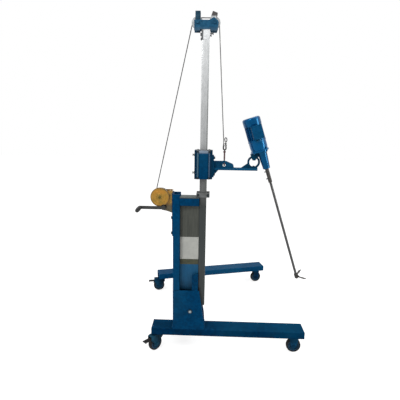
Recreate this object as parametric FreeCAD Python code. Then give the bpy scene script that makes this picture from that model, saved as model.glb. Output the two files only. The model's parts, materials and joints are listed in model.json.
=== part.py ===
import FreeCAD, Part
import math
import os

# Elevating mixer on a wheeled stand. Millimetres and degrees, +Z up.
# Working frame: X forward along the near leg, Y away from the viewer, Z up, the mast's axis at
# X = 0, Y = 0. At the end every piece is shifted so that the footprint's centre is the origin.

V = FreeCAD.Vector
X_AXIS = V(1, 0, 0)
Y_AXIS = V(0, 1, 0)
Z_AXIS = V(0, 0, 1)

# General clearances
running_gap = 0.05
touch_gap = 0.3
moving_gap = 0.6

# Legs and base
leg_length = 1040.0
leg_width = 120.0
leg_height = 48.0
leg_wall = 5.0
leg_underside = 130.0
near_leg_rear = -336.0
far_leg_rear_x = -427.0
far_leg_rear_y = 888.0
splay_angle = 15.4
beam_from_rear = 236.0
beam_width = 90.0
end_cap = 5.0
pad_length = 104.0
pad_thickness = 6.0

# Casters
wheel_radius = 50.0
wheel_width = 32.0
wheel_axle_radius = 5.0
caster_trail = 38.0
caster_plate_length = 96.0
caster_plate_width = 86.0
caster_plate = 4.0
race_radius = 28.0
race_height = 8.0
fork_sheet = 3.0
fork_side_gap = 1.5
crown_sheet = 5.0
fork_eye_radius = 20.0
swivel_inset = 46.0
rigid_inset = 58.0
near_swivel_rest = 228.0
far_swivel_rest = 190.0
pedal_reach = 50.0
pedal_width = 34.0
pedal_barrel_radius = 5.0
pedal_pin_radius = 2.5
pedal_pin_out = 41.0
pedal_pin_up = 42.0

# Column
foot_plate = 12.0
foot_plate_front = 25.0
post_left = -189.0
post_width = 44.0
post_depth = 100.0
post_wall = 5.0
post_top = 1107.0
stub_width = 40.0
stub_top = 571.0
crossbar_top = 1083.0
crossbar_height = 50.0
top_plate = 4.0
gusset_plate = 6.0
gusset_top = 457.0
gusset_knee = 245.0
gusset_nose = 20.0
tie_bolt_height = 311.0
panel_sheet = 2.5
panel_recess = 30.0
upper_panel_bottom = 631.0
lower_panel_bottom = 450.0
label_bottom = 668.0
label_height = 152.0
label_sheet = 1.5

# Mast and its clamp
mast_size = 45.0
mast_wall = 3.5
mast_corner = 4.0
mast_bottom = 340.0
mast_into_head = 2.0
clamp_bar = 12.0
clamp_height = 30.0
clamp_reach = 42.0
clamp_bolt_radius = 5.0

# Rope and pulleys
rope_radius = 3.0
pulley_offset = 50.0
pulley_height = 2121.0
pulley_rope_radius = 28.0
pulley_rim_radius = 34.0
pulley_width = 16.0
pulley_hub_width = 24.0
pulley_axle_radius = 6.0

# Head
head_sheet = 6.0
head_left = -68.0
head_right = 74.0
head_below_axle = 39.0
head_height = 50.0
head_peak = 15.0
skirt_drop = 8.0
skirt_left_end = -33.0
skirt_right_start = 27.0
skirt_right_end = 64.0
keeper_width = 30.0
keeper_sheet = 3.0
keeper_rise = 60.0
right_keeper_tilt = 20.0
sleeve_wall = 2.5
sleeve_length = 56.0

# Winch on the column's rear face
winch_plate = 6.0
winch_plate_bottom = 833.0
winch_axis_x = -272.0
winch_axis_z = 1086.0
winch_base_below = 102.0
winch_base_height = 142.0
drum_core_radius = 18.0
drum_flange_radius = 50.0
drum_rope_radius = 36.0
drum_inner_length = 52.0
drum_flange = 2.0
winch_side_gap = 1.0
winch_side = 4.0
gear_module = 2.5
gear_teeth = 44
pinion_teeth = 12
gear_face = 10.0
gear_backlash = 0.5
pinion_direction = -69.5
cover_sheet = 1.5
cover_gap = 1.5
crank_arm_length = 150.0
crank_bar_width = 20.0
crank_bar = 6.0
crank_rest = 180.0
grip_length = 95.0
grip_radius = 14.0
grip_pin_radius = 5.0
pinion_shaft_radius = 7.0

# Carriage on the mast
carriage_bottom = 1206.0
carriage_height = 178.0
carriage_half_width = 56.0
carriage_half_depth = 50.0
carriage_sheet = 4.0
press_rise = 6.0
press_half_width = 46.0
roller_radius = 13.0
roller_width = 38.0
roller_axle_radius = 4.0
roller_proud = 6.0
side_screw_low = 36.0
side_screw_spacing = 112.0
arm_flange = 9.0
arm_flange_foot = 10.0
arm_flange_height = 139.0

# Arm, lug and tilt ring
arm_end = 338.0
arm_width = 40.0
arm_rise = 71.0
arm_thick = 15.0
lug_sheet = 10.0
lug_height = 42.0
lug_flat_end = 141.0
lug_end = 188.0
lug_end_height = 24.0
lug_eye_x = 130.0
lug_eye_height = 15.0
lug_eye_radius = 9.0
ring_x = 314.0
ring_bore = 28.0
ring_wall = 11.0
ring_thick = 20.0
ring_seat = 1.5
ring_foot = 34.0
ring_foot_sheet = 6.0
wedge_reach = 76.0

# Mixer head, built upright about its own axis and then tilted on the ring
tilt_rest = 18.2
axis_offset = 67.5
ring_height = 63.0
cone_bottom_radius = 23.0
cone_top_radius = 29.0
cone_height = 104.0
collar_radius = 34.0
collar_height = 12.0
motor_offset = 12.0
adapter_radius = 54.0
adapter_flange_radius = 57.0
adapter_flange = 9.0
adapter_height = 74.0
motor_radius = 54.0
motor_core_radius = 46.0
motor_height = 98.0
fin_count = 28
fin_thick = 2.6
fan_cover_radius = 56.0
fan_cover_height = 48.0
fan_cover_wall = 2.0
fan_cover_round = 14.0
vent_count = 12
fan_radius = 47.0
fan_blades = 8
fan_shaft_depth = 20.0
box_length = 78.0
box_width = 60.0
box_reach = 30.0
box_turn = -84.0
box_below_cover = 4.0
gland_inset = 16.5
gland_length = 17.0
gland_entry = 13.0
gland_bore = 5.0
shaft_radius = 8.0
shaft_stub = 60.0
coupling_radius = 12.0
coupling_length = 90.0
hub_top_drop = 733.0
hub_length = 36.0
hub_radius = 13.0
hinge_drop = 20.0
hinge_radius = 18.0
ear_thick = 3.0
tongue_thick = 6.0
hinge_pin_radius = 2.0
blade_length = 68.0
blade_width = 24.0
blade_thick = 2.5
blade_pitch = -18.0
blade_azimuths = {"rear_blade": 60.0, "front_blade": -60.0}

# Hook and rope end
hook_rod_radius = 4.5
hook_bowl_radius = 15.0
hook_rise = 12.0
swivel_above_lug = 52.0
swivel_length = 9.0
thimble_gap = 3.0
thimble_height = 45.0
thimble_half_width = 13.0
tail_rise = 38.0
tail_reach = 9.0

# Values worked out from the sizes above
leg_top = leg_underside + leg_height
column_foot = leg_top + foot_plate
post_right = post_left + post_width
mast_half = mast_size / 2
head_half_gap = mast_half
crossbar_bottom = crossbar_top - crossbar_height
head_bottom = pulley_height - head_below_axle
head_top = head_bottom + head_height
mast_top = head_bottom + mast_into_head
keeper_top = pulley_height + keeper_rise
sleeve_bottom = head_bottom - sleeve_length
pinion_distance = gear_module * (gear_teeth + pinion_teeth) / 2
winch_half = drum_inner_length / 2 + drum_flange + winch_side_gap
gear_rear = -winch_half - winch_side - 1.0
gear_front = gear_rear - gear_face
cover_inner_radius = gear_module * (gear_teeth / 2 + 1) + cover_gap
cover_front = gear_front - cover_gap - cover_sheet
roller_x = mast_half + touch_gap + roller_radius
roller_low = carriage_bottom + roller_radius - roller_proud
roller_high = carriage_bottom + carriage_height - roller_radius + roller_proud
arm_flange_bottom = carriage_bottom + arm_flange_foot
arm_flange_top = arm_flange_bottom + arm_flange_height
arm_top = carriage_bottom + arm_rise
lug_top = arm_top + lug_height
lug_eye_z = arm_top + lug_eye_height
swivel_height = lug_top + swivel_above_lug
thimble_bottom = swivel_height + swivel_length + thimble_gap
rope_tail_top = thimble_bottom + thimble_height + tail_rise
ring_outer = ring_bore + ring_wall
ring_z = arm_top + ring_outer - ring_seat
adapter_bottom = cone_height + collar_height
motor_bottom = adapter_bottom + adapter_height
fan_cover_bottom = motor_bottom + motor_height - 6.0
motor_end = motor_bottom + motor_height

nodes = {}
joints = {}


# Plain solids

def block(x0, x1, y0, y1, z0, z1):
    return Part.makeBox(x1 - x0, y1 - y0, z1 - z0, V(x0, y0, z0))


def rod(start, end, radius):
    along = end - start
    return Part.makeCylinder(radius, along.Length, start, along)


def tube(start, end, outer, inner):
    return rod(start, end, outer).cut(rod(start, end, inner))


def side_plate(outline, y0, y1):
    """A plate in the XZ plane, from its outline's (x, z) points, between two Y faces."""
    points = [V(x, y0, z) for x, z in outline]
    face = Part.Face(Part.makePolygon(points + points[:1]))
    return face.extrude(V(0, y1 - y0, 0))


def bar_along_z(outline, z0, z1):
    """A bar of constant section from its (x, y) outline."""
    points = [V(x, y, z0) for x, y in outline]
    face = Part.Face(Part.makePolygon(points + points[:1]))
    return face.extrude(V(0, 0, z1 - z0))


def turned(outline):
    """A body of revolution about Z from its (radius, z) outline."""
    points = [V(r, 0, z) for r, z in outline]
    face = Part.Face(Part.makePolygon(points + points[:1]))
    return face.revolve(V(0, 0, 0), Z_AXIS, 360)


def rounded(shape, radius, along):
    """Rounds the straight edges that run along a direction."""
    edges = [e for e in shape.Edges
             if isinstance(e.Curve, Part.Line) and abs(e.Curve.Direction.dot(along)) > 0.999]
    return shape.makeFillet(radius, edges)


def placed(shape, position, turn=0.0, axis=Z_AXIS):
    """A copy turned about the origin and then moved."""
    copy = shape.copy()
    copy.Placement = FreeCAD.Placement(position, FreeCAD.Rotation(axis, turn)).multiply(shape.Placement)
    return copy


def hex_bolt(seat, direction, radius, shank=0.0):
    """A hexagon bolt head that sits on a face, with an optional shank behind it."""
    across = radius * 1.85
    height = radius * 1.3
    corners = [V(across * math.cos(math.radians(a)), across * math.sin(math.radians(a)), 0)
               for a in range(0, 361, 60)]
    solid = Part.Face(Part.makePolygon(corners)).extrude(V(0, 0, height))
    if shank:
        solid = solid.fuse(rod(V(0, 0, -shank), V(0, 0, 0), radius))
    turn = FreeCAD.Rotation(Z_AXIS, direction)
    solid.Placement = FreeCAD.Placement(seat, turn)
    return solid


def group(shapes):
    return Part.makeCompound(shapes)


# Legs and base beam

def leg_frame(rear_x, rear_y, turn):
    """Places a leg's pieces, which are drawn along +X from the leg's rear end."""
    def place(shape):
        return placed(shape, V(rear_x, rear_y, 0), turn)
    return place


on_near_leg = leg_frame(near_leg_rear, 0, 0)
on_far_leg = leg_frame(far_leg_rear_x, far_leg_rear_y, splay_angle)


def leg_channel():
    half = leg_width / 2
    outer = block(0, leg_length, -half, half, leg_underside, leg_top)
    outer = rounded(outer, leg_wall, X_AXIS)
    lower = block(-1, leg_length + 1, -half - 1, half + 1, leg_underside - 1, leg_underside + leg_wall)
    square = block(0, leg_length, -half, half, leg_underside, leg_underside + leg_wall)
    outer = outer.cut(lower).fuse(square)
    inner = block(-1, leg_length + 1, -half + leg_wall, half - leg_wall,
                  leg_underside - 1, leg_top - leg_wall)
    return outer.cut(inner).removeSplitter()


def leg_end_plates():
    """Two caps that close a leg's ends, and the two pads that carry its casters."""
    half = leg_width / 2 - leg_wall
    inside_top = leg_top - leg_wall
    plates = []
    for start in (0.0, leg_length - end_cap):
        plates.append(block(start, start + end_cap, -half, half, leg_underside, inside_top))
    pad_top = leg_underside + pad_thickness
    for start in (end_cap, leg_length - end_cap - pad_length):
        plates.append(block(start, start + pad_length, -half, half, leg_underside, pad_top))
    return plates


def leg_envelope(extra=0.0):
    half = leg_width / 2
    return block(-extra, leg_length + extra, -half, half, leg_underside - 1, leg_top + 1)


def along_leg(rear_x, rear_y, turn, distance):
    angle = math.radians(turn)
    return V(rear_x + distance * math.cos(angle), rear_y + distance * math.sin(angle), 0)


def cross_beam():
    near = along_leg(near_leg_rear, 0, 0, beam_from_rear)
    far = along_leg(far_leg_rear_x, far_leg_rear_y, splay_angle, beam_from_rear)
    span = far - near
    turn = math.degrees(math.atan2(span.y, span.x))
    half = beam_width / 2
    outer = block(0, span.Length, -half, half, leg_underside, leg_top)
    outer = rounded(outer, leg_wall, X_AXIS)
    inner = block(-1, span.Length + 1, -half + leg_wall, half - leg_wall,
                  leg_underside + leg_wall, leg_top - leg_wall)
    beam = placed(outer.cut(inner), near, turn)
    return beam.cut(on_near_leg(leg_envelope())).cut(on_far_leg(leg_envelope()))


nodes["near_leg"] = on_near_leg(leg_channel())
nodes["far_leg"] = on_far_leg(leg_channel())
nodes["cross_beam"] = cross_beam()
nodes["leg_end_plates"] = group([on_leg(plate) for on_leg in (on_near_leg, on_far_leg)
                                 for plate in leg_end_plates()])


# Casters. Each is drawn with its king pin on Z and its wheel trailing along +X.

crown_top = leg_underside - caster_plate - race_height - touch_gap
cheek_inner = wheel_width / 2 + fork_side_gap
cheek_outer = cheek_inner + fork_sheet


def caster_wheel():
    """Wheel with a crowned tread, a dished web and a hub bored for its axle."""
    half = wheel_width / 2
    tread = wheel_radius
    outline = [
        (wheel_axle_radius + running_gap, -half), (13, -half), (13, -9), (36, -6),
        (38, -half + 2), (tread - 6, -half + 1), (tread - 1.5, -half + 5), (tread, -6),
        (tread, 6), (tread - 1.5, half - 5), (tread - 6, half - 1), (38, half - 2),
        (36, 6), (13, 9), (13, half), (wheel_axle_radius + running_gap, half)]
    return placed(turned(outline), V(0, 0, wheel_radius), 90, X_AXIS)


def axle_bolt(trail):
    reach = cheek_outer + 1.0
    shank = rod(V(trail, -reach, wheel_radius), V(trail, reach, wheel_radius), wheel_axle_radius)
    head = hex_bolt(V(trail, -cheek_outer, wheel_radius), V(0, -1, 0), wheel_axle_radius)
    nut = hex_bolt(V(trail, cheek_outer, wheel_radius), V(0, 1, 0), wheel_axle_radius)
    return shank.fuse(head).fuse(nut)


def fork_cheek(trail, rear, front, top):
    """One fork side: wide at the crown and narrowed to a round eye at the axle."""
    eye = fork_eye_radius
    outline = [(rear, top), (front, top), (front, top - 24), (trail + eye, wheel_radius + 6),
               (trail + eye, wheel_radius), (trail - eye, wheel_radius),
               (trail - eye, wheel_radius + 8), (rear, top - 22)]
    cheek = side_plate(outline, cheek_inner, cheek_outer)
    eye_disc = rod(V(trail, cheek_inner, wheel_radius), V(trail, cheek_outer, wheel_radius), eye)
    bore = rod(V(trail, cheek_inner - 1, wheel_radius), V(trail, cheek_outer + 1, wheel_radius),
               wheel_axle_radius)
    return cheek.fuse(eye_disc).cut(bore).removeSplitter()


def both_sides(shape):
    return [shape, shape.mirror(V(0, 0, 0), Y_AXIS)]


def swivel_fork():
    front = caster_trail + pedal_pin_out + pedal_barrel_radius
    crown_bottom = crown_top - crown_sheet
    crown = block(-race_radius, front, -cheek_outer, cheek_outer, crown_bottom, crown_top)
    crown = rounded(crown, 10.0, Z_AXIS)
    crown = crown.cut(rod(V(0, 0, crown_bottom - 1), V(0, 0, crown_top + 1), 6.0 + running_gap))
    fork = crown
    for cheek in both_sides(fork_cheek(caster_trail, -race_radius + 12, front, crown_bottom)):
        fork = fork.fuse(cheek)
    pin_at = V(caster_trail + pedal_pin_out, 0, wheel_radius + pedal_pin_up)
    reach = V(0, cheek_outer + 1, 0)
    fork = fork.cut(rod(pin_at - reach, pin_at + reach, pedal_pin_radius))
    pin = rod(pin_at - reach, pin_at + reach, pedal_pin_radius)
    return group([fork.removeSplitter(), axle_bolt(caster_trail), pin])


def rigid_fork():
    top = leg_underside - caster_plate
    crown = block(-32, 32, -cheek_outer, cheek_outer, top - crown_sheet, top)
    fork = rounded(crown, 6.0, Z_AXIS)
    for cheek in both_sides(fork_cheek(0.0, -30, 30, top - crown_sheet)):
        fork = fork.fuse(cheek)
    return group([fork.removeSplitter(), axle_bolt(0.0)])


def brake_pedal():
    """Foot lever on its pin, with a shoe that points down in front of the tread."""
    pin_at = V(caster_trail + pedal_pin_out, 0, wheel_radius + pedal_pin_up)
    half = pedal_width / 2
    side = V(0, half, 0)
    barrel = rod(pin_at - side, pin_at + side, pedal_barrel_radius)
    tip = pin_at.x + pedal_reach
    lever = block(pin_at.x, tip, -half, half, pin_at.z - 1.5, pin_at.z + 2.5)
    lever = rounded(lever, 1.2, Y_AXIS)
    toe = rod(V(tip, -half, pin_at.z - 0.5), V(tip, half, pin_at.z - 0.5), 4.0)
    shoe = side_plate([(pin_at.x - 4, pin_at.z - 2), (pin_at.x + 5, pin_at.z - 2),
                       (pin_at.x + 12, pin_at.z - 22), (pin_at.x + 9, pin_at.z - 22)],
                      -half + 6, half - 6)
    bore = rod(pin_at - side * 1.1, pin_at + side * 1.1, pedal_pin_radius + running_gap)
    return barrel.fuse(lever).fuse(toe).fuse(shoe).cut(bore).removeSplitter()


def caster_base(swivels):
    """Top plate of a caster, with a raceway and king pin where it swivels."""
    top = leg_underside
    plate = block(-caster_plate_length / 2, caster_plate_length / 2,
                  -caster_plate_width / 2, caster_plate_width / 2, top - caster_plate, top)
    plate = rounded(plate, 6.0, Z_AXIS)
    if not swivels:
        return plate
    race_bottom = top - caster_plate - race_height
    race = Part.makeCone(race_radius - 5, race_radius, race_height, V(0, 0, race_bottom))
    pin_bottom = crown_top - crown_sheet - 7.0
    king_pin = rod(V(0, 0, pin_bottom), V(0, 0, race_bottom), 6.0)
    pin_nut = rod(V(0, 0, pin_bottom), V(0, 0, crown_top - crown_sheet - touch_gap), 9.5)
    return plate.fuse(race).fuse(king_pin).fuse(pin_nut).removeSplitter()


near_left_at = along_leg(near_leg_rear, 0, 0, swivel_inset)
far_left_at = along_leg(far_leg_rear_x, far_leg_rear_y, splay_angle, swivel_inset)
near_right_at = along_leg(near_leg_rear, 0, 0, leg_length - rigid_inset)
far_right_at = along_leg(far_leg_rear_x, far_leg_rear_y, splay_angle, leg_length - rigid_inset)

swivels = {"near_left": (near_left_at, near_swivel_rest, 0.0),
           "far_left": (far_left_at, far_swivel_rest, splay_angle)}
rigids = {"near_right": (near_right_at, 0.0), "far_right": (far_right_at, splay_angle)}

caster_bases = []
for name, (spot, rest_turn, leg_turn) in swivels.items():
    caster_bases.append(placed(caster_base(True), spot, leg_turn))
    nodes[name + "_fork"] = placed(swivel_fork(), spot, rest_turn)
    nodes[name + "_pedal"] = placed(brake_pedal(), spot, rest_turn)
    rest = FreeCAD.Rotation(Z_AXIS, rest_turn)
    wheel = placed(caster_wheel(), V(caster_trail, 0, 0))
    nodes[name + "_wheel"] = placed(wheel, spot, rest_turn)
    across = rest.multVec(Y_AXIS)
    joints[name + "_swivel"] = (spot, Z_AXIS)
    joints[name + "_wheel_spin"] = (spot + rest.multVec(V(caster_trail, 0, wheel_radius)), across)
    joints[name + "_brake"] = (spot + rest.multVec(V(caster_trail + pedal_pin_out, 0,
                                                     wheel_radius + pedal_pin_up)), across)
rigid_forks = []
for name, (spot, leg_turn) in rigids.items():
    caster_bases.append(placed(caster_base(False), spot, leg_turn))
    rigid_forks.append(placed(rigid_fork(), spot, leg_turn))
    nodes[name + "_wheel"] = placed(caster_wheel(), spot, leg_turn)
    rest = FreeCAD.Rotation(Z_AXIS, leg_turn)
    joints[name + "_wheel_spin"] = (spot + V(0, 0, wheel_radius), rest.multVec(Y_AXIS))
nodes["caster_top_plates"] = group(caster_bases)
nodes["rigid_caster_forks"] = group(rigid_forks)

# Column on the near leg: a rear post, a crossbar, a stub post and two gusset plates

column_front = -post_depth / 2
column_back = post_depth / 2
stub_right = -mast_half
stub_left = stub_right - stub_width


def channel_post(left, right, bottom, top, web_on_left):
    """Upright channel: the web on one side and flanges at the front and back."""
    post = block(left, right, column_front, column_back, bottom, top)
    start = left + post_wall if web_on_left else left - 1
    end = right + 1 if web_on_left else right - post_wall
    return post.cut(block(start, end, column_front + post_wall, column_back - post_wall,
                          bottom - 1, top + 1))


def gusset_outline():
    left = post_left
    return [(left, column_foot), (left, gusset_top), (stub_right + 9, gusset_top),
            (gusset_nose, gusset_knee), (gusset_nose + 3, column_foot)]


def gusset(y0, y1):
    plate = side_plate(gusset_outline(), y0, y1)
    tie_x = (stub_left + stub_right) / 2 - 30
    bore = rod(V(tie_x, y0 - 1, tie_bolt_height), V(tie_x, y1 + 1, tie_bolt_height), 8.0)
    return plate.cut(bore)


def column_base_plates():
    half = column_back + gusset_plate + 2
    foot = block(post_left - 6, foot_plate_front, -half, half, leg_top, column_foot)
    return [rounded(foot, 5.0, Z_AXIS), gusset(column_front - gusset_plate, column_front),
            gusset(column_back, column_back + gusset_plate)]


def column_crossbar():
    outer = block(post_right, -mast_half, column_front, column_back, crossbar_bottom, crossbar_top)
    outer = rounded(outer, 4.0, X_AXIS)
    inner = block(post_right - 1, -mast_half + 1, column_front + post_wall, column_back - post_wall,
                  crossbar_bottom + post_wall, crossbar_top - post_wall)
    return outer.cut(inner)


def panel(left, right, bottom, top):
    """Sheet panel with a folded flange along each upright edge."""
    front = column_front + panel_recess
    sheet = block(left, right, front, front + panel_sheet, bottom, top)
    for x0 in (left, right - panel_sheet):
        sheet = sheet.fuse(block(x0, x0 + panel_sheet, front, front + 18, bottom, top))
    return sheet.removeSplitter()


nodes["column_posts"] = group([
    channel_post(post_left, post_right, column_foot, post_top, True),
    channel_post(stub_left, stub_right, column_foot, stub_top, False)])
nodes["column_base_plates"] = group(column_base_plates())
nodes["column_crossbar"] = column_crossbar()
nodes["column_upper_panel"] = panel(post_right, -mast_half, upper_panel_bottom, crossbar_bottom)


def lower_panel():
    """Panel from the rear post to the stub post, widened up to the mast above that post."""
    front = column_front + panel_recess
    strip = block(stub_right - post_wall, stub_right, front, front + panel_sheet, stub_top,
                  upper_panel_bottom)
    sheet = panel(post_right, stub_right - post_wall, lower_panel_bottom, upper_panel_bottom)
    return sheet.fuse(strip).removeSplitter()


nodes["column_lower_panel"] = lower_panel()
label_front = column_front + panel_recess - label_sheet
nodes["label_plate"] = block(post_right + 1, -mast_half - 1, label_front, label_front + label_sheet,
                             label_bottom, label_bottom + label_height)


# Mast, the clamp at the column's top and the sleeve under the head

def square_tube(outer, wall, corner, z0, z1):
    half = outer / 2
    solid = rounded(block(-half, half, -half, half, z0, z1), corner, Z_AXIS)
    inner = block(-half + wall, half - wall, -half + wall, half - wall, z0 - 1, z1 + 1)
    return solid.cut(inner)


def mast_clamp():
    """Bed plate on the crossbar and two bars that grip the mast front and back."""
    low = crossbar_top + top_plate
    bed = block(post_right, -mast_half, column_front, column_back, crossbar_top, low)
    pieces = [bed]
    for y0 in (-mast_half - clamp_bar, mast_half):
        bar = block(-clamp_reach, clamp_reach, y0, y0 + clamp_bar, low, low + clamp_height)
        bar = rounded(bar, 3.0, Y_AXIS)
        for x in (-clamp_reach + 10, clamp_reach - 10):
            middle = low + clamp_height / 2
            bar = bar.cut(rod(V(x, y0 - 1, middle), V(x, y0 + clamp_bar + 1, middle), clamp_bolt_radius))
        pieces.append(bar)
    return group(pieces)


nodes["mast_tube"] = square_tube(mast_size, mast_wall, mast_corner, mast_bottom, mast_top)
nodes["mast_clamp"] = mast_clamp()


def head_sleeve():
    """Collar on the mast below the head, cut away at a slant on its lower front corner."""
    half = mast_half + sleeve_wall
    solid = block(-half, half, -half, half, sleeve_bottom, head_bottom)
    solid = solid.cut(block(-mast_half, mast_half, -mast_half, mast_half,
                            sleeve_bottom - 1, head_bottom + 1))
    slant = side_plate([(half + 1, sleeve_bottom - 1), (half - 12, sleeve_bottom - 1),
                        (half + 1, sleeve_bottom + 26)], -half - 1, half + 1)
    return solid.cut(slant)


nodes["head_sleeve"] = head_sleeve()


# Pulley head

def pulley_centre(side):
    return V(side * pulley_offset, 0, pulley_height)


def head_cheek(y0, y1):
    """One side of the head: a plate with a skirt at each end and a peak at the right pulley."""
    low = head_bottom
    drop = head_bottom - skirt_drop
    outline = [(head_left, drop), (skirt_left_end, drop), (skirt_left_end, low),
               (skirt_right_start, low), (skirt_right_start, drop), (skirt_right_end, drop),
               (head_right - 4, low + 8), (head_right, head_top - 14), (head_right - 6, head_top - 2),
               (pulley_offset - 4, head_top + head_peak), (pulley_offset - 30, head_top),
               (head_left, head_top)]
    cheek = side_plate(outline, y0, y1)
    for side in (-1, 1):
        centre = pulley_centre(side)
        cheek = cheek.cut(rod(V(centre.x, y0 - 1, centre.z), V(centre.x, y1 + 1, centre.z),
                              pulley_axle_radius))
    return cheek


def head_frame():
    """Two cheeks on the mast's front and back faces, tied by a cap plate over the mast's end."""
    front = head_cheek(-head_half_gap - head_sheet, -head_half_gap)
    back = head_cheek(head_half_gap, head_half_gap + head_sheet)
    web_half = pulley_offset - pulley_rim_radius - 3
    cap = block(-web_half, web_half, -head_half_gap, head_half_gap, mast_top, mast_top + 5)
    return front.fuse(back).fuse(cap).removeSplitter()


def rope_keeper(centre_x, bottom, tilt):
    """Inverted U over a pulley, between the cheeks, so that the rope can't jump off."""
    bore = pulley_centre(-1)
    half_reach = head_half_gap + 1
    half = keeper_width / 2
    outer = head_half_gap
    height = keeper_top - bottom
    body = block(-half, half, -outer, outer, -height, 0)
    hollow = block(-half - 1, half + 1, -outer + keeper_sheet, outer - keeper_sheet,
                   -height - 1, -keeper_sheet * 2)
    keeper = body.cut(hollow)
    top = keeper_top - half * math.sin(math.radians(tilt))
    keeper = placed(keeper, V(centre_x, 0, top), tilt, Y_AXIS)
    return keeper.cut(rod(bore - Y_AXIS * half_reach, bore + Y_AXIS * half_reach, pulley_axle_radius))


def pulley(side):
    """Grooved sheave with a hub, bored for its axle."""
    groove = rope_radius + touch_gap
    half = pulley_width / 2
    hub_half = pulley_hub_width / 2
    bore = pulley_axle_radius + running_gap
    floor = pulley_rope_radius - groove
    outline = [(bore, -hub_half), (11, -hub_half), (11, -half), (pulley_rim_radius, -half),
               (pulley_rim_radius, -half + 2), (floor, -groove * 0.75), (floor, groove * 0.75),
               (pulley_rim_radius, half - 2), (pulley_rim_radius, half), (11, half), (11, hub_half),
               (bore, hub_half)]
    sheave = turned(outline)
    groove_ring = Part.makeTorus(pulley_rope_radius, groove)
    return placed(sheave.cut(groove_ring), pulley_centre(side), 90, X_AXIS)


def pulley_axle(side):
    centre = pulley_centre(side)
    reach = head_half_gap + head_sheet
    shank = rod(centre - Y_AXIS * reach, centre + Y_AXIS * reach, pulley_axle_radius)
    axle = shank
    for way in (-1, 1):
        axle = axle.fuse(hex_bolt(centre + Y_AXIS * (way * reach), Y_AXIS * way, pulley_axle_radius))
        inner = centre + Y_AXIS * (way * (pulley_hub_width / 2 + touch_gap))
        axle = axle.fuse(rod(inner, centre + Y_AXIS * (way * (head_half_gap - keeper_sheet - 0.5)), 9.0))
    return axle.removeSplitter()


nodes["head_frame"] = head_frame()
nodes["rope_keepers"] = group([rope_keeper(-pulley_offset + 3, pulley_height - 12, 0.0),
                               rope_keeper(pulley_offset + 3, head_top + 6, right_keeper_tilt)])
for name, side in (("left_pulley", -1), ("right_pulley", 1)):
    nodes[name] = pulley(side)
    joints[name + "_spin"] = (pulley_centre(side), Y_AXIS)
nodes["pulley_axles"] = group([pulley_axle(-1), pulley_axle(1)])


# Rope: from the drum over both pulleys, and the fall to the carriage

drum_centre = V(winch_axis_x, 0, winch_axis_z)
left_centre = pulley_centre(-1)
right_centre = pulley_centre(1)


def tangent_normal(start, start_radius, end, end_radius, left):
    """Unit normal, in XZ, of the line that touches two circles on the same side."""
    span = end - start
    along = V(span.x, 0, span.z)
    along.normalize()
    side = V(-along.z, 0, along.x) * (1 if left else -1)
    share = (start_radius - end_radius) / V(span.x, 0, span.z).Length
    return along * share + side * math.sqrt(1 - share * share)


rise_normal = tangent_normal(drum_centre, drum_rope_radius, left_centre, pulley_rope_radius, True)
drum_leave = drum_centre + rise_normal * drum_rope_radius
left_touch = left_centre + rise_normal * pulley_rope_radius
left_top = left_centre + Z_AXIS * pulley_rope_radius
right_top = right_centre + Z_AXIS * pulley_rope_radius
fall_end = V(lug_eye_x - thimble_half_width / 2, 0, thimble_bottom + thimble_height)
fall_normal = tangent_normal(right_centre, pulley_rope_radius, fall_end, 0.0, True)
fall_start = right_centre + fall_normal * pulley_rope_radius


def arc_between(centre, start, end, radius):
    middle = (start + end) * 0.5 - centre
    middle.normalize()
    return Part.Arc(start, centre + middle * radius, end).toShape()


def swept_rope(edges, start, direction):
    section = Part.Wire(Part.makeCircle(rope_radius, start, direction))
    return Part.Wire(edges).makePipeShell([section], True, True)


def winch_rope():
    line = Part.LineSegment
    edges = [line(drum_leave, left_touch).toShape(),
             arc_between(left_centre, left_touch, left_top, pulley_rope_radius),
             line(left_top, right_top).toShape(),
             arc_between(right_centre, right_top, fall_start, pulley_rope_radius)]
    return swept_rope(edges, drum_leave, left_touch - drum_leave)


nodes["winch_rope"] = winch_rope()
fall_line = fall_end - fall_start
fall_unit = V(fall_line.x, fall_line.y, fall_line.z)
fall_unit.normalize()
nodes["rope_fall"] = rod(fall_start, fall_end - fall_unit * touch_gap, rope_radius)


# Winch

def involute_half_angle(radius, base_radius, teeth, pitch_radius):
    """Half the angle that a tooth fills at a radius, less its share of the backlash."""
    def spread(r):
        ratio = math.sqrt(max(r * r / (base_radius * base_radius) - 1, 0))
        return ratio - math.atan(ratio)
    at_pitch = math.pi / (2 * teeth) - gear_backlash / (2 * pitch_radius)
    return at_pitch + spread(pitch_radius) - spread(max(radius, base_radius))


def spur_gear(teeth, bore, turn):
    """Spur gear between its two faces, with involute flanks, turned by an angle."""
    pitch_radius = gear_module * teeth / 2
    base_radius = pitch_radius * math.cos(math.radians(20))
    root = pitch_radius - 1.25 * gear_module
    tip = pitch_radius + gear_module
    steps = [root, max(base_radius, root + 0.6), pitch_radius, (pitch_radius + tip) / 2, tip]
    outline = []
    for tooth in range(teeth):
        middle = math.radians(turn) + 2 * math.pi * tooth / teeth
        rising = [(r, -involute_half_angle(r, base_radius, teeth, pitch_radius)) for r in steps]
        falling = [(r, -offset) for r, offset in reversed(rising)]
        for r, offset in rising + falling:
            outline.append((r * math.cos(middle + offset), r * math.sin(middle + offset)))
    gear = side_plate(outline, gear_front, gear_rear)
    return gear.cut(rod(V(0, gear_front - 1, 0), V(0, gear_rear + 1, 0), bore))


pinion_angle = math.radians(pinion_direction)
pinion_centre = drum_centre + V(math.cos(pinion_angle), 0, math.sin(pinion_angle)) * pinion_distance
drum_half = drum_inner_length / 2 + drum_flange


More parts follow.
